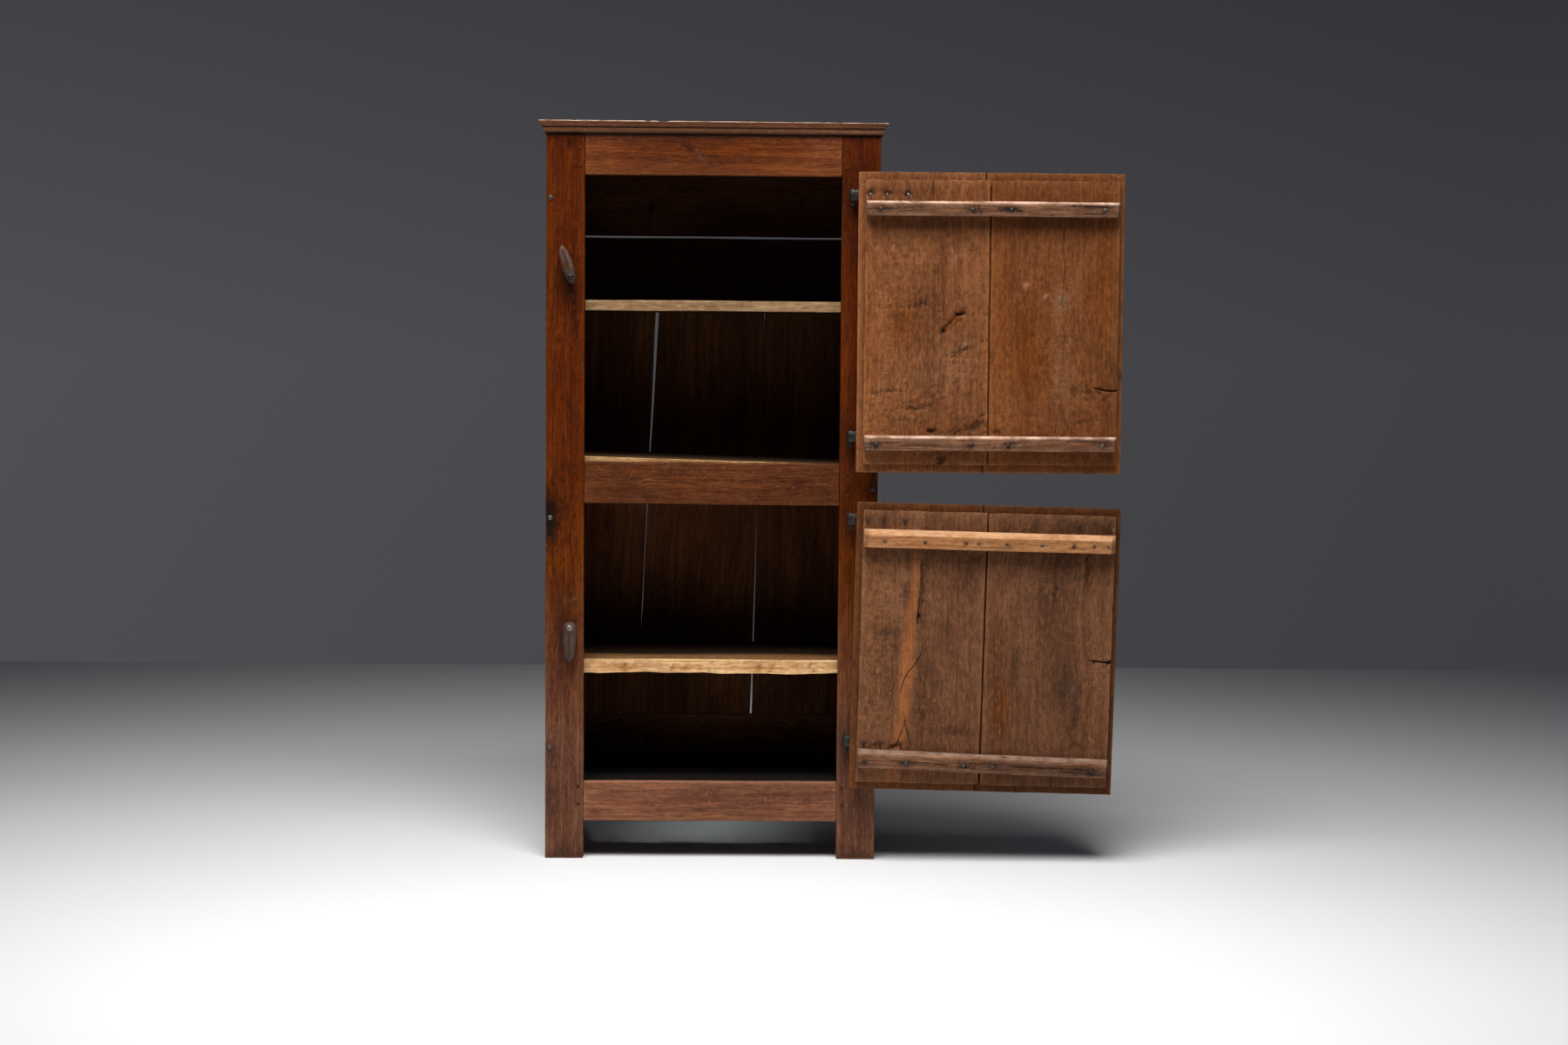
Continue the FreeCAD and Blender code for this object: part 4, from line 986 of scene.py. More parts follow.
# Height of the groove, and how far the painted shade spreads round the groove and up from the foot, in
# shares of the height
GROOVE, GROOVE_SHADE, FOOT_SHADE = 0.47, 0.07, 0.12
CORNICE_CHIPS = ((45 * MM, 1.0), (17 * MM, 1.0))
CHIP_DEPTH, WEAR_DEPTH, WORN_BAND = 2.5 * MM, 0.8 * MM, 2.2 * MM
left_edge, front_edge = box_of("stile_left")[0][:2]
right_edge = box_of("stile_right")[1][X]
rear_end = box_of("cornice_left")[1][Y]
top_low, top_high = box_of("cornice_front")
out = CORNICE_OUT * (front_edge - top_low[Y])
up = top_low[Z] + CORNICE_UP * (top_high[Z] - top_low[Z])
for name, seed in (("front", 121), ("left", 122), ("right", 123)):
    node = "cornice_" + name
    length = right_edge - left_edge if name == "front" else rear_end - front_edge
    stations = lines(length, 9 * MM, 2 * MM)
    rings = []
    for along in stations:
        # The mitres spread each run towards the front corners
        share = along / length
        if name == "front":
            x, y = left_edge + along + out * (2 * share - 1), front_edge - out
        else:
            x = left_edge - out if name == "left" else right_edge + out
            y = rear_end - along - out * share
        rings.append(np.stack([x, y, up], axis=1))
    shell = loft(rings)
    points = shell.points
    slim = points.copy()
    slim[:, X if name == "front" else Y] *= 0.2
    height = (points[:, Z] - top_low[Z]) / (top_high[Z] - top_low[Z])
    high_edge = rising(points[:, Z], top_high[Z] - WORN_BAND, top_high[Z])
    # The upper arris is worn pale and painted bright as a highlight, less and less towards the top boards.
    # The last two points close the ends
    outness = np.append(np.tile(CORNICE_OUT, len(stations)), (0.5, 0.5))
    shell.wear_and_shade[:, 0] = np.clip(high_edge * outness ** 2 * (1.2 + 0.3 * waves(slim, 12 * MM, seed)), 0, 1)
    # Painted shade: the groove and the foot are darkened
    painted_shade = bell(height, GROOVE, GROOVE_SHADE) + bell(height, 0, FOOT_SHADE)
    shell.wear_and_shade[:, 1] = np.clip(0.9 * painted_shade, 0, 1)
    # Painted light: both bands face partly down and are lightened against their shade, the upper band most
    shell.shade(np.interp(height, (0.48, 0.56, 0.84, 0.9), (0.15, 0.45, 0.45, 0.3)))
    chips = np.clip(mixed_waves(points, CORNICE_CHIPS, seed + 1) - 1.0, 0, 1)
    points[:, Z] -= CHIP_DEPTH * chips * high_edge
    points[:, Z] -= WEAR_DEPTH * high_edge * np.clip(0.5 + 0.5 * waves(slim, 0.2, seed + 3), 0, 1)
    order = (Y, Z, X) if name == "front" else (X, Z, Y)
    shell.wood = points[:, order] + (0.08, 0.05, seed)
    make(node, [shell], "carcase", "cornice_oak")


# Doors

# Marks of age on the inner faces of the door boards, with painted shadows under the top battens, from the
# lower hinge corner of each door
DOOR_MARKS = {
    ("upper", "hinge"): (
        ("gouge", 215, 345, 27, 5, 43, 1.4, 0.12, 0.5), ("tint", 215, 345, 24, 6, 43, 0.05, 0.4),
        ("gouge", 234, 363, 9, 3, 10, 9, 0.95), ("gouge", 196, 323, 5, 4, 50, 4, 0.85),
        ("gouge", 208, 341, 20, 1.7, 47, 2.4, 0.75, 0.4), ("gouge", 243, 281, 26, 3, 24, 2.5, 0.7, 0.5),
        ("gouge", 219, 337, 12, 1.6, 40, 1.6, 0.5, 0.4), ("tint", 243, 291, 28, 5, 24, 0.25, -0.3),
        ("gouge", 130, 380, 26, 2.5, 4, 2.0, 0.5, 0.5), ("gouge", 148, 390, 12, 6, -20, 1.6, 0.3, 0.5),
        ("tint", 101, 334, 40, 50, 0, -0.06, 0.2), ("gouge", 95, 345, 6, 26, 10, 1.2, 0.2, 0.5),
        ("tint", 223, 504, 9, 15, 0, 0.6, -0.3), ("tint", 223, 504, 6, 11, 0, -0.6, 0.2),
        ("tint", 219, 483, 6, 8, 0, 0.35, -0.3), ("gouge", 42, 181, 13, 2.2, 5, 2.0, 0.5, 0.5),
        ("gouge", 80, 186, 15, 2.2, -4, 2.0, 0.55, 0.5), ("gouge", 125, 160, 14, 2.2, -12, 2.0, 0.5, 0.5),
        ("gouge", 140, 146, 16, 2.2, 3, 2.0, 0.5, 0.5), ("gouge", 120, 148, 10, 2.0, 8, 2.0, 0.5, 0.5),
        ("gouge", 100, 120, 12, 2.2, -6, 1.6, 0.4, 0.5), ("gouge", 34, 118, 10, 2.2, 12, 1.6, 0.4, 0.5),
        ("gouge", 268, 106, 20, 9, 20, 3.0, 0.6, 0.6), ("gouge", 170, 95, 9, 4, 0, 6, 0.9),
        ("gouge", 198, 30, 14, 4, 50, 2.5, 0.6, 0.4), ("roughen", 120, 150, 110, 60, 0, 1.2),
        ("roughen", 250, 230, 60, 90, 0, 1.1), ("roughen", 110, 470, 90, 60, 0, 0.8),
        ("roughen", 110, 380, 90, 70, 0, 1.0), ("tint", 20, 330, 22, 260, 0, 0.10, 0.12),
        ("tint", 294, 330, 8, 260, 0, 0.12, 0.1), ("tint", 200, 230, 70, 60, 0, 0.06, -0.12),
        # The wide faint stain at 160, 560 is partly dirt and partly a painted shadow under the top batten
        ("stain", 160, 560, 150, 26, 0, 0.3), ("gouge", 168, 655, 1.8, 28, 0, 2.0, 0.85, 0.2),
        ("fleck", 60, 470, 90, 120, 0, 1.0), ("fleck", 80, 150, 90, 80, 0, 1.2),
        ("fleck", 240, 430, 60, 90, 0, 0.8),
    ),
    ("upper", "latch"): (
        ("tint", 384, 430, 8, 5, 40, 1.0, -0.5), ("tint", 430, 407, 9, 4, 30, 0.9, -0.5),
        ("tint", 366, 410, 5, 6, 30, 0.35, -0.3), ("gouge", 417, 442, 8, 2, 20, 1.0, 0.35, 0.4),
        ("tint", 323, 320, 16, 230, 0, 0.15, 0.1), ("tint", 391, 283, 46, 100, 0, -0.12, 0.2),
        ("tint", 467, 225, 26, 130, 0, 0.06, -0.18), ("ripple", 467, 225, 26, 130, 0, 0.8),
        # The wide faint stain at 450, 575 is partly dirt and partly a painted shadow under the top batten
        ("tint", 560, 430, 30, 110, 0, 0.09, 0.12), ("stain", 450, 575, 170, 24, 0, 0.32),
        ("gouge", 530, 188, 14, 6, -12, 2.2, 0.55, 0.6), ("gouge", 515, 118, 20, 3, 10, 1.5, 0.4, 0.5),
        ("gouge", 464, 388, 6, 9, 0, 1.4, 0.3, 0.4), ("tint", 464, 395, 16, 18, 0, 0.12, -0.5),
        ("gouge", 398, 133, 14, 2.5, 0, 1.5, 0.4, 0.5), ("gouge", 321, 96, 10, 4, 0, 2, 0.7, 0.4),
        ("gouge", 430, 87, 26, 1.8, -4, 1.0, 0.45, 0.4), ("roughen", 540, 150, 60, 70, 0, 0.9),
        ("stain", 595, 330, 8, 120, 0, 0.3), ("stain", 592, 225, 12, 50, 0, 0.3),
    ),
    ("lower", "hinge"): (
        ("sapwood", 139, 490, 12, 60, -2, 0.5), ("sapwood", 133, 420, 13, 60, -3, 0.75),
        ("sapwood", 128, 340, 14, 60, -3, 0.85), ("sapwood", 125, 270, 15, 60, -1, 0.85),
        ("sapwood", 122, 200, 14, 60, -2, 0.8), ("sapwood", 114, 125, 15, 60, -5, 0.75),
        ("sapwood", 97, 30, 15, 50, -8, 0.5), ("gouge", 157, 470, 2.5, 30, -3, 2.0, 0.5, 0.6),
        ("gouge", 278, 543, 12, 5, 8, 1.6, 0.35, 0.2), ("gouge", 150, 405, 4, 6, 0, 2.5, 0.8),
        ("stain", 79, 365, 34, 12, 0, 0.45), ("stain", 200, 340, 40, 60, 0, 0.22),
        # The wide faint stain at 160, 560 is partly dirt and partly a painted shadow under the top batten
        ("stain", 245, 140, 34, 9, 0, 0.5), ("stain", 160, 560, 150, 24, 0, 0.35),
        ("stain", 115, 455, 9, 30, 0, 0.4), ("gouge", 100, 102, 9, 4, 20, 3, 0.8),
        ("gouge", 58, 104, 5, 5, 20, 2, 0.5), ("roughen", 60, 300, 60, 200, 0, 0.8),
        ("tint", 40, 400, 40, 200, 0, 0.10, 0.1), ("fleck", 50, 330, 75, 240, 0, 1.5),
        ("fleck", 230, 200, 50, 100, 0, 0.8),
    ),
    ("lower", "latch"): (
        ("gouge", 464, 475, 3.5, 5, 0, 2.2, 0.8), ("gouge", 457, 461, 3.5, 4, 0, 2.0, 0.75),
        ("gouge", 459, 449, 3, 3, 0, 1.5, 0.5), ("stain", 490, 267, 30, 70, 8, 0.40),
        ("knot", 490, 250, 22, 0.12), ("tint", 505, 245, 8, 14, 0, 0.35, -0.6),
        ("stain", 372, 304, 12, 60, 0, 0.35), ("tint", 340, 330, 26, 260, 0, 0.10, 0.08),
        ("tint", 343, 195, 18, 60, 0, 0.2, 0.35), ("gouge", 332, 190, 2, 26, 0, 0.8, 0.4, 0.4),
        # The wide faint stain at 450, 565 is partly dirt and partly a painted shadow under the top batten
        ("stain", 450, 565, 160, 24, 0, 0.4), ("stain", 533, 520, 5, 32, 0, 0.5),
        ("stain", 345, 620, 16, 18, 0, 0.35), ("stain", 410, 615, 14, 18, 0, 0.4),
        ("stain", 500, 618, 40, 16, 0, 0.45), ("stain", 570, 612, 26, 18, 0, 0.45),
        ("gouge", 555, 307, 4, 3.5, 0, 3, 0.85), ("gouge", 590, 308, 5, 4, 0, 4, 0.9),
        ("gouge", 522, 115, 9, 6, 0, 1.6, 0.45, 0.4), ("stain", 403, 28, 2.5, 26, 0, 0.5),
        ("stain", 468, 28, 2.5, 26, 0, 0.5), ("roughen", 430, 500, 80, 60, 0, 0.6),
        ("tint", 590, 616, 5, 5, 0, 0.4, -0.6), ("tint", 560, 300, 30, 200, 0, 0.10, 0.05),
    ),
}
# Where a nail comes through: a burnt stain above it and a pale chip beside it
SCARS = {
    "upper": (
        ("stain", 0, 6, 11, 8, 0, 0.85), ("gouge", 0, 2, 4, 4, 0, 2.5, 0.9),
        ("tint", 5, -3, 6, 4, 40, 0.5, -0.5),
    ),
    "lower": (("stain", 0, 3, 10, 7, 0, 0.4), ("gouge", 0, 1, 3, 2, 0, 1.5, 0.5)),
}

# Splits in the door boards: axis along, points (along, across), width and depth in millimetres
SPLITS = {
    ("upper", "hinge"): (),
    ("upper", "latch"): (
        (Z, ((395, 466), (470, 472), (510, 466), (560, 469)), 0.7, 1.5),
        (X, ((548, 196), (565, 191), (585, 190), (606, 193)), 1.5, 9),
    ),
    ("lower", "hinge"): (
        (Z, ((385, 147), (430, 149), (480, 153), (530, 152)), 1.4, 4),
        (Z, ((228, 113), (255, 119), (272, 128), (295, 145), (322, 160)), 1.1, 3),
        (Z, ((100, 141), (135, 131), (165, 124), (185, 120)), 1.2, 3.5),
        (Z, ((103, 106), (135, 118), (163, 128)), 1.2, 3),
    ),
    ("lower", "latch"): ((X, ((550, 312), (570, 310), (592, 308)), 1.5, 9),),
}
# Seed, tone, warmth and ray flecks of each door board
BOARDS = {
    ("upper", "hinge"): (131, 0.12, 0.15, 0.45), ("upper", "latch"): (142, -0.12, 0.25, 0.25),
    ("lower", "hinge"): (153, -0.20, -0.05, 0.6), ("lower", "latch"): (164, -0.25, -0.05, 0.3),
}
OUTSIDE_MARKS = (
    ("knot", 120, 460, 11), ("knot", 210, 180, 8),
    ("stain", 150, 40, 120, 40, 0, 0.4), ("gouge", 80, 320, 4, 60, 4, 1.6, 0.5, 0.5),
)
# The gap where the boards meet, the dirt in it, and how far the field reaches into the lip
SEAM, SEAM_DIRT, FIELD_OVERLAP = 3 * MM, 2.2 * MM, 0.5 * MM
# The outer faces are darker with old wax, and the lower door's lip is dark and warm
WAX_TONE, LOWER_LIP_TONE, LOWER_LIP_WARMTH = -0.22, -0.28, 0.35


def clenched(nail_low, nail_high):
    """Whether a strap nail's point is hammered over, so that it reaches further down than its head."""
    return nail_high[Z] - nail_low[Z] > 1.1 * (nail_high[X] - nail_low[X])


for (door, side), (seed, tone, warmth, flecks) in BOARDS.items():
    node = "%s_door_%s_board" % (door, side)
    place = DOOR_PLACES[door]
    lip_low, lip_high = face_of(node, Y, 1, place)
    field_low, field_high = face_of(node, Y, 0, place)
    lip_level = np.unique(np.round(corners_of(node, place)[:, Y], 4))[1]
    lip_low[Y] = lip_level
    field_high[Y] = lip_level + FIELD_OVERLAP
    corner = box_of(door + "_door_hinge_board", place)[0]
    cracks = []
    for along, path, width, depth in SPLITS[door, side]:
        across = Z if along == X else X
        spots = [(far * MM + corner[along], off * MM + corner[across]) for far, off in path]
        cracks.append(Crack(along, across, spots, width * MM, depth * MM))
    middle = (lip_low + lip_high) / 2
    # The boards have shrunk apart where they meet
    if side == "hinge":
        joint = lip_high[X]
        field_high[X] -= SEAM / 2
    else:
        joint = lip_low[X]
        field_low[X] += SEAM / 2
    field = board(field_low, field_high, Z, Y, seed, "quarter", 3 * MM, 2 * MM, 1.8 * MM, cracks, middle)
    face = Face(field, FRONT, corner)
    face.put(DOOR_MARKS[door, side], seed)
    for crack in cracks:
        face.split(crack, min(0.95, 0.3 + crack.depth / (6 * MM)))
    for nail_low, nail_high in solids_of(door + "_door_strap_nails", place):
        if side == "hinge" and clenched(nail_low, nail_high):
            radius = (nail_high[X] - nail_low[X]) / 2
            scar_at = (nail_low[X] + radius, nail_low[Y], nail_high[Z] - radius)
            Face(field, FRONT, scar_at).put(SCARS[door], seed)
    lip = board(lip_low, lip_high, Z, Y, seed, "quarter", 5 * MM, 2 * MM, 0.7 * MM, (), middle)
    Face(lip, BACK, lip_low).put(OUTSIDE_MARKS, seed)
    for shell in (field, lip):
        shell.shade(tone, warmth)
        shell.rays += flecks - 1
    outside = np.clip(lip.out[:, Y], 0, 1)
    lip.shade(WAX_TONE * outside)
    if door == "lower":
        lip.shade(LOWER_LIP_TONE * (1 - outside), LOWER_LIP_WARMTH)
    lip.wear_and_shade[:, 1] = np.maximum(lip.wear_and_shade[:, 1], 0.9 * bell(lip.points[:, X], joint, SEAM_DIRT))
    make(node, [field, lip], door + "_door", "door_oak", place)


# Battens

BATTENS = (
    # door, level, slope in degrees, seed, end bevel and drop of the crest in millimetres, finish,
    # tone of the front, tone of the bevel, which paints a highlight where it is above zero, and wear of the
    # bevel, which also paints a highlight
    ("upper", "top", 0.0, 171, 6, -1, "batten_oak", 0.30, 0.48, 1.0),
    ("upper", "bottom", 0.0, 182, 6, -1, "batten_oak", 0.30, 0.48, 1.0),
    ("lower", "top", 0.0, 193, 11, 1, "pale_oak", -0.08, 0.05, 0.8),
    ("lower", "bottom", 1.1, 204, 5, -5, "batten_oak", 0.22, -0.05, 0.5),
)
# How thick the bevelled edge is left, and where up its bevel a rough batten is painted pale as a highlight
# and how fast
BEVEL_SHARE, PALE_START, PALE_BLEND = 0.55, 0.3, 0.12
# The cut-back ends are painted darker as shade
END_SHADE, ROUGH_WARMTH = -0.25, 0.3
SCRATCHES = 14
for door, level, slope, seed, end_bevel, drop, finish, front_tone, bevel_highlight_tone, bevel_wear_and_highlight in BATTENS:
    node = "%s_door_%s_batten" % (door, level)
    place = DOOR_PLACES[door] @ Matrix.Rotation(math.radians(slope), 4, "Y")
    low, high = box_of(node, place)
    crest = face_of(node, Y, 0, place)[1][Z] - drop * MM
    ridges = [(Z, crest), (X, low[X] + end_bevel * MM), (X, high[X] - end_bevel * MM)]
    bar = board(low, high, X, Y, seed, "rift", 4 * MM, 2 * MM, 1.0 * MM, ridges=ridges)
    # The upper arris is planed to a broad bevel, and both ends are cut back
    above = rising(bar.points[:, Z], crest, high[Z])
    ends = np.minimum(bar.points[:, X] - low[X], high[X] - bar.points[:, X])
    cut_back = 1 - rising(ends, 0, end_bevel * MM)
    limit = 1 - (1 - BEVEL_SHARE) * np.maximum(above, cut_back)
    bar.points[:, Y] = high[Y] + (bar.points[:, Y] - high[Y]) * limit
    rough = finish == "batten_oak"
    # The up-facing bevel is painted pale as a highlight; the front of a rough batten is painted darker
    # towards the bottom as shade, with less worn arris there
    bevel = np.clip((above - PALE_START * rough) / PALE_BLEND, 0, 1)
    rise = rising(bar.points[:, Z], low[Z], crest)
    bar.wear_and_shade[:, 0] = np.maximum(bar.wear_and_shade[:, 0] * (0.2 + 0.6 * rise), bevel_wear_and_highlight * bevel)
    front = (front_tone - 0.3 * rough * (1 - rise)) * (1 - bevel)
    tone = bevel_highlight_tone * bevel + front + END_SHADE * (cut_back > 0.05)
    bar.shade(tone, ROUGH_WARMTH * rough * (1 - bevel))
    face = Face(bar, FRONT, low)
    for number in range(SCRATCHES):
        draw = np.random.default_rng(seed + number)
        at = (draw.uniform(20, 550), draw.uniform(4, 26))
        long = draw.uniform(15, 60) if rough else draw.uniform(3, 9)
        face.gouge(at, long, 1.4, draw.uniform(-4, 4), 1.0, 0.5, seed=number)
    for number, (nail_low, nail_high) in enumerate(solids_of(door + "_door_batten_nails", place)):
        x, _, z = ((nail_low + nail_high) / 2 - low) / MM
        if low[Z] < nail_low[Z] < high[Z]:
            size = (11 + 4 * (number % 3), 7) if rough else (5, 4)
            face.stain((x, z), *size, 0, 0.8, seed=seed + number)
    make(node, [bar], door + "_door", finish, place)
pale_low, pale_high = box_of("lower_door_top_batten", DOOR_PLACES["lower"])
heads("upper_door_batten_nails", -1, "upper_door", DOOR_PLACES["upper"], (-0.6, 0.6))
heads("lower_door_batten_nails", -1, "lower_door", DOOR_PLACES["lower"], (-0.7, -0.1),
      (pale_low[Z], pale_high[Z]))


# Hinges

def section(centre, first, second, count, powers=(1, 1), turn=0.0):
    """A ring of points round a centre, through two half widths. Powers below 1 make it squarer."""
    angle = np.linspace(0, 2 * math.pi, count, endpoint=False)[:, None] + turn
    points = np.tile(np.array(centre, float), (count, 1))
    for half, wave, power in ((first, np.cos(angle), powers[0]), (second, np.sin(angle), powers[1])):
        points += np.array(half) * np.sign(wave) * abs(wave) ** power
    return points


def bar_ring(at, wide, thick, way):
    """A flat bar's rounded section: wide along Z, thick along a way in the XY plane."""
    up, out, corner = wide / 2, thick / 2, 0.25 * thick
    quarter = ((up - corner, out), (up, out - corner))
    half = quarter + tuple((z, -t) for z, t in quarter[::-1])
    outline = half + tuple((-z, -t) for z, t in half)
    return [np.array(at) + (way[0] * t, way[1] * t, z) for z, t in outline]


# A strap's width from its eye to its tip: shares of its length, and of its width at the eye
STRAP_SHARES, STRAP_WIDTHS = (0, 0.25, 0.8, 0.93, 1.0), (1.0, 1.0, 0.6, 0.75, 0.2)
STRAP_STEPS, EYE_STEPS, EYE_TURN = 24, 25, 300
# The last part of a strap is hammered thinner
THIN_FROM, THIN_SHARE = 0.9, 0.8


def strap_shell(node, place, seed):
    """A tapered strap whose end is rolled round the hinge pin."""
    low, high = box_of(node, place)
    middle = (low[Z] + high[Z]) / 2
    wide = high[Z] - low[Z]
    plate_low, plate_high = face_of(node, X, 1, place)
    thick = plate_high[Y] - plate_low[Y]
    level = (plate_low[Y] + plate_high[Y]) / 2
    radius = -low[X] - thick / 2
    rings = []
    for share in np.linspace(1, 0, STRAP_STEPS):
        width = wide * np.interp(share, STRAP_SHARES, STRAP_WIDTHS)
        thickness = thick if share < THIN_FROM else THIN_SHARE * thick
        rings.append(bar_ring((share * high[X], level, middle), width, thickness, (0, 1)))
    for angle in np.linspace(0, EYE_TURN, EYE_STEPS)[1:]:
        turn = math.radians(-90 - angle)
        x, y = math.cos(turn), math.sin(turn)
        rings.append(bar_ring((radius * x, radius * y, middle), wide, thick, (-x, -y)))
    return loft(rings, seed)


def pintle_shells(node, place, seed):
    """A square spike driven into the stile, forged up into the round pin."""
    low, high = box_of(node, place)
    foot_low, foot_high = face_of(node, Y, 1, place)
    wide, _, tall = foot_high - foot_low
    middle = (foot_low[Z] + foot_high[Z]) / 2
    spike_rings = []
    for share, size in ((0.0, 0.7), (0.1, 1.0), (0.35, 1.0), (0.7, 1.0), (1.0, 1.0)):
        y = -0.2 * wide + share * (high[Y] + 0.2 * wide)
        halves = (size * wide / 2, 0, 0), (0, 0, size * tall / 2)
        spike_rings.append(section((0, y, middle), *halves, 12, (0.4, 0.4), 0.26))
    foot, top = foot_low[Z], high[Z]
    pin_ends = ((foot, 0.9), (foot + 1 * MM, 1.0), (top - 1.5 * MM, 1.0), (top - 0.4 * MM, 0.8), (top, 0.4))
    pin_rings = [ring((0, 0, z), -low[Y] * share, 14, seed, Z, 0.02) for z, share in pin_ends]
    return [loft(spike_rings, seed), loft(pin_rings, seed + 1)]


def nail_tip(start, length, thick, seed):
    """A nail point bent over and hammered down against the board."""
    rings = []
    for share in np.linspace(0, 1, 9):
        x = start[X] + 0.4 * thick * share * (1 if seed % 2 else -1)
        y = start[Y] - thick * (0.5 + 0.9 * math.sin(math.pi * min(1, share * 1.2)) * (1 - 0.4 * share))
        size = thick * (0.75 - 0.5 * share)
        rings.append(section((x, y, start[Z] - length * share), (0, size, 0), (size, 0, 0), 8))
    return loft(rings, seed)


HINGE_TONE = -0.75
TIP_TONE = {"upper": 1.6, "lower": -0.75}
# A clenched point: how thick it is, how deep it starts and how far above the nail's middle
TIP_THICK, TIP_DEPTH, TIP_RISE = 3.2 * MM, 2 * MM, 4 * MM
for door in DOORS:
    place = hinge_place(door, 1)
    irons = []
    for level in ("top", "bottom"):
        node = "%s_door_%s_strap" % (door, level)
        irons.append((node, [strap_shell(node, place, 211)], door + "_door"))
    for level in ("high", "low"):
        node = "pintle_%s_%s" % (door, level)
        irons.append((node, pintle_shells(node, place, 221), "carcase"))
    for node, shells, body in irons:
        for shell in shells:
            shell.shade(HINGE_TONE)
        make(node, shells, body, "forged_iron", place)
    node = door + "_door_strap_nails"
    place = DOOR_PLACES[door]
    shells = []
    for number, (low, high) in enumerate(solids_of(node, place)):
        radius = (high[X] - low[X]) / 2
        x, z = low[X] + radius, high[Z] - radius
        shells.append(nail_head((x, high[Y] - NAIL_RISE * radius, z), radius, 1, 400 + 5 * number))
        if clenched(low, high):
            start = (x, low[Y] + TIP_DEPTH, z + TIP_RISE)
            tip = nail_tip(start, start[Z] - low[Z], TIP_THICK, 450 + number)
            tip.shade(TIP_TONE[door])
            shells.append(tip)
    make(node, shells, door + "_door", "forged_iron", place, False)


# Turn buttons

# How each button leans, then its outline: heights, and its left and right edges there, in shares of its
# reach and of its half width
BUTTONS = {
    "upper": (-17.5, (-0.24, -0.1, 0.0, 0.2, 0.45, 0.7, 0.9, 1.0),
              (-0.25, -0.6, -0.78, -0.92, -0.9, -0.74, -0.42, -0.05),
              (0.3, 0.6, 0.78, 0.94, 0.94, 0.78, 0.52, 0.2)),
    "lower": (180.0, (-0.16, -0.08, 0.0, 0.2, 0.45, 0.7, 0.9, 1.0),
              (-0.4, -0.8, -0.92, -0.95, -0.9, -0.75, -0.5, -0.1),
              (0.4, 0.8, 0.92, 0.98, 1.0, 0.85, 0.6, 0.1)),
}
BUTTON_STEPS, BUTTON_AROUND = 30, 24
BOSS_SHARE = 0.75
for name, (lean, heights, lefts, rights) in BUTTONS.items():
    node = "turn_button_" + name
    turn = Matrix.Rotation(math.radians(lean), 4, "Y")
    place = Matrix.Translation(JOINTS[name + "_button_turn"]["pos_m"]) @ turn
    low, high = box_of(node, place)
    half = max(-low[X], high[X])
    reach = high[Z]
    back = (low[Y] + high[Y]) / 2 - 0.5 * MM
    rings = []
    for share in np.linspace(heights[0], 1.0, BUTTON_STEPS):
        left = np.interp(share, heights, lefts) * half
        right = np.interp(share, heights, rights) * half
        # The front is rounded off towards both ends
        foot_end = math.sqrt((share - heights[0]) / 0.10) if share > heights[0] else 0.05
        head_end = math.sqrt((1.0 - share) / 0.12 + 0.05)
        front = back + (low[Y] - back) * (0.35 + 0.65 * min(1.0, foot_end, head_end))
        centre = ((left + right) / 2, (back + front) / 2, share * reach)
        halves = ((right - left) / 2, 0, 0), (0, (back - front) / 2, 0)
        rings.append(section(centre, *halves, BUTTON_AROUND, (0.75, 0.6)))
    arm = loft(rings, 501)
    arm.points += 0.5 * MM * waves(arm.points, 18 * MM, 502)[:, None] * (0.6, 0.4, 0)
    arm.wood = arm.points + (0.05, 0.08, 3.0)
    seat = high[Y]
    boss_ends = ((seat, 1.0), (seat - 2 * MM, 1.0), ((seat + back) / 2, 0.82), (back - 3 * MM, 0.95))
    boss_radius = BOSS_SHARE * half
    boss = loft([ring((0, y, 0), boss_radius * share, 18, 503, Y, 0.03) for y, share in boss_ends], 504)
    along, across = arm.points[:, Z] / reach, arm.points[:, X] / half
    if name == "upper":
        # Handling has rubbed the upper end pale, and the middle down to warm wood
        pale = np.interp(along, (0.0, 0.3, 0.6, 1.0), (-0.35, 0.0, 0.5, 1.1))
        rubbed = bell(across, -0.35, 0.5) * bell(along, 0.42, 0.16)
        # Painted light: the right flank of the arm is lighter
        arm.shade(pale + 0.5 * np.clip(across, -0.5, 1), 1.6 * rubbed)
    else:
        arm.shade(-0.15 + 0.3 * bell(across, 0, 0.4) * bell(along, 0.6, 0.3))
    make(node, [arm, boss], name + "_button", "button_oak", place)


# Stage, light and camera

FLOOR_BACK, FLOOR_FRONT, FLOOR_SIDE = 3.4, -11.0, 12.0
FLOOR_DARK, FLOOR_LIGHT = (0.7372, 0.7372, 0.7372, 1.0), (0.76, 0.76, 0.76, 1.0)


def floor_finish(name):
    """A matt studio floor, mottled very faintly."""
    material = new_material(name)
    nodes = Nodes(material.node_tree)
    cloud = nodes.noise(nodes.place(), 1.3, 3)
    colour = nodes.ramp(cloud, ((0.3, FLOOR_DARK), (0.7, FLOOR_LIGHT)))
    nodes.surface({"Base Color": colour, "Roughness": 0.6, "Specular IOR Level": 0.2})
    return material


mesh = bpy.data.meshes.new("floor")
mesh.from_pydata([(-FLOOR_SIDE, FLOOR_FRONT, 0), (FLOOR_SIDE, FLOOR_FRONT, 0), (FLOOR_SIDE, FLOOR_BACK, 0),
                  (-FLOOR_SIDE, FLOOR_BACK, 0)], [], [(0, 1, 2, 3)])
floor = bpy.data.objects.new("floor", mesh)
bpy.context.scene.collection.objects.link(floor)
mesh.materials.append(floor_finish("studio floor"))

world = bpy.data.worlds.new("studio")
bpy.context.scene.world = world
world.use_nodes = True
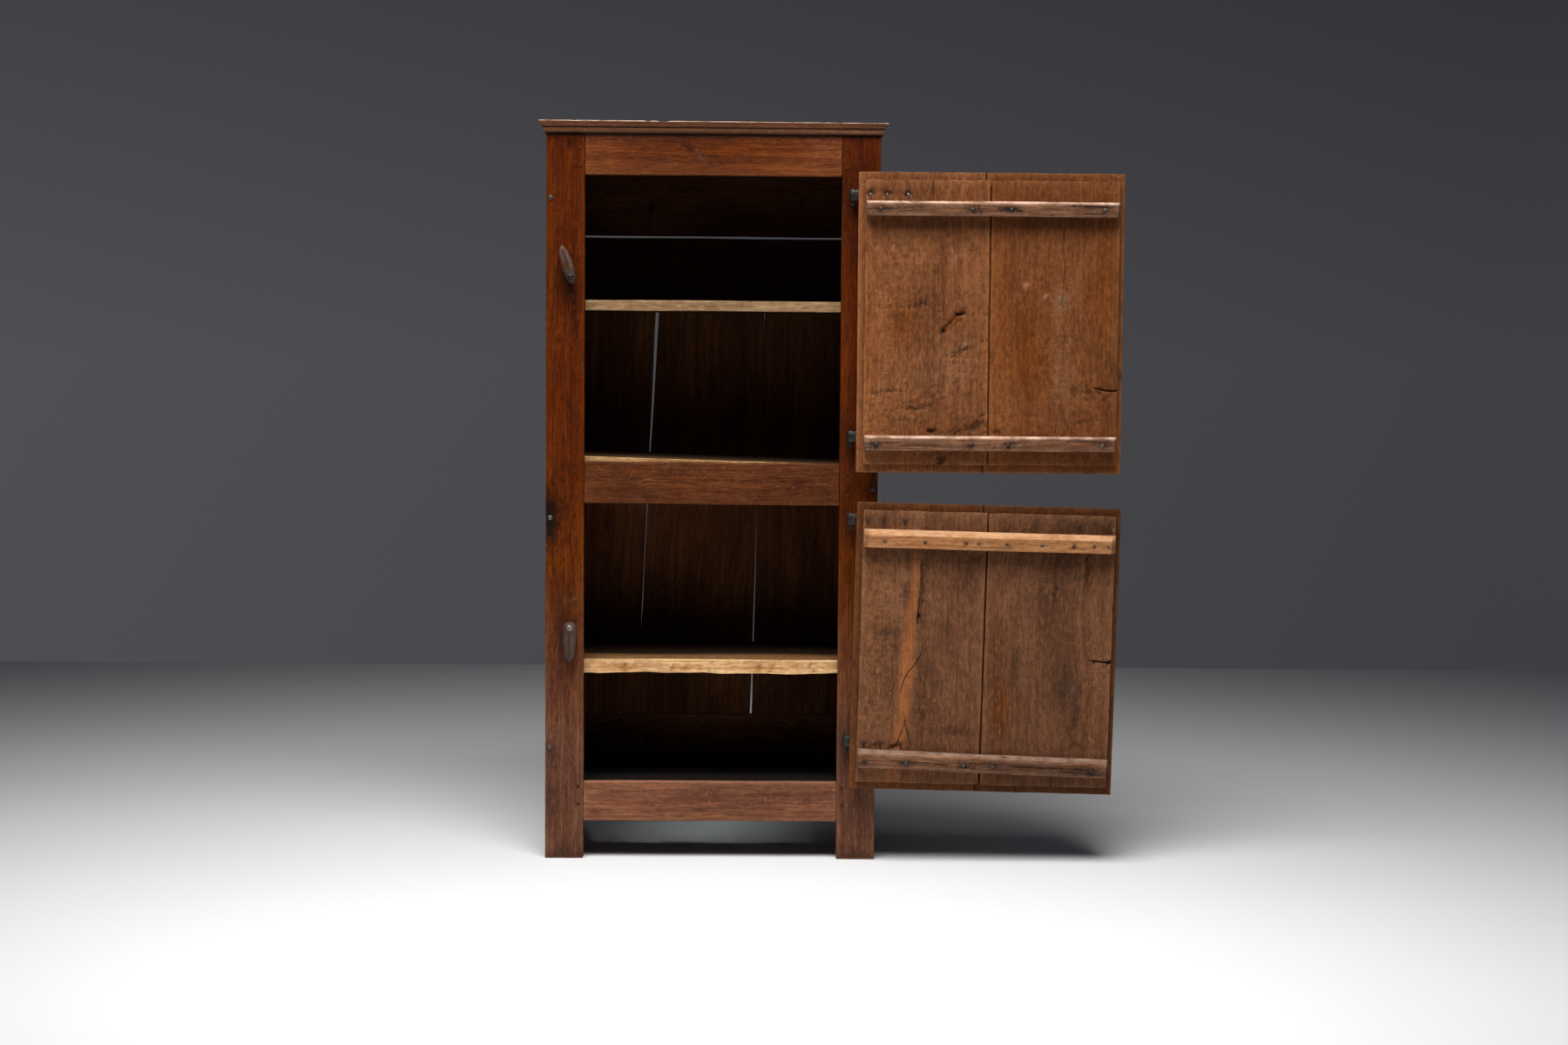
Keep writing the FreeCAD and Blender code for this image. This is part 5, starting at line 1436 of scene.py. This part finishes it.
# A dim grey wall, a little darker to the right and towards the top
sky = Nodes(world.node_tree)
way = sky.split(sky.add("TexCoord", {}, 0))
height = sky.between(way[2], -0.13, 0.14)
wall = sky.ramp(height, ((0.0, rgb(77, 76, 80)), (0.45, rgb(79, 78, 82)), (1.0, rgb(63, 62, 68))))
wall = sky.scaled(wall, sky.between(way[0], -0.28, 0.28, 1.03, 0.66))
sky.tree.links.new(wall, sky.tree.nodes["Background"].inputs["Color"])


def softbox(name, at, target, size, power, spread):
    """A studio lamp, with its size in metres, its power in watts and its spread in degrees."""
    lamp = bpy.data.lights.new(name, "AREA")
    lamp.shape = "RECTANGLE"
    lamp.size, lamp.size_y = size
    lamp.energy = power
    lamp.spread = math.radians(spread)
    holder = bpy.data.objects.new(name, lamp)
    bpy.context.scene.collection.objects.link(holder)
    holder.location = at
    aim = Vector([end - start for start, end in zip(at, target)])
    holder.rotation_mode = "QUATERNION"
    holder.rotation_quaternion = aim.to_track_quat("-Z", "Y")


softbox("rear", (0.1, 3.0, 2.0), (-0.03, 0.14, 0.0), (0.3, 0.3), 0.055, 7)
softbox("key", (-0.2, -2.1, 4.2), (0.05, -1.2, 0.2), (3.2, 2.0), 97, 92)

CAMERA_AT = (0.04959, -6.21043, 1.20349)
PITCH, YAW, ROLL = (math.radians(degrees) for degrees in (-3.989, -1.119, -0.473))
SENSOR, FOCAL_PIXELS, PHOTO_WIDTH = 36.0, 2995.69, 1800
lens = bpy.data.cameras.new("camera")
lens.sensor_width = SENSOR
lens.lens = FOCAL_PIXELS / PHOTO_WIDTH * SENSOR
camera = bpy.data.objects.new("camera", lens)
bpy.context.scene.collection.objects.link(camera)
aim = Matrix.Rotation(YAW, 4, "Z") @ Matrix.Rotation(PITCH, 4, "X") @ Matrix.Rotation(ROLL, 4, "Y")
camera.matrix_world = Matrix.Translation(CAMERA_AT) @ aim @ Matrix.Rotation(math.pi / 2, 4, "X")
bpy.context.scene.camera = camera
bpy.context.scene.view_settings.view_transform = "Standard"

bpy.context.view_layer.update()
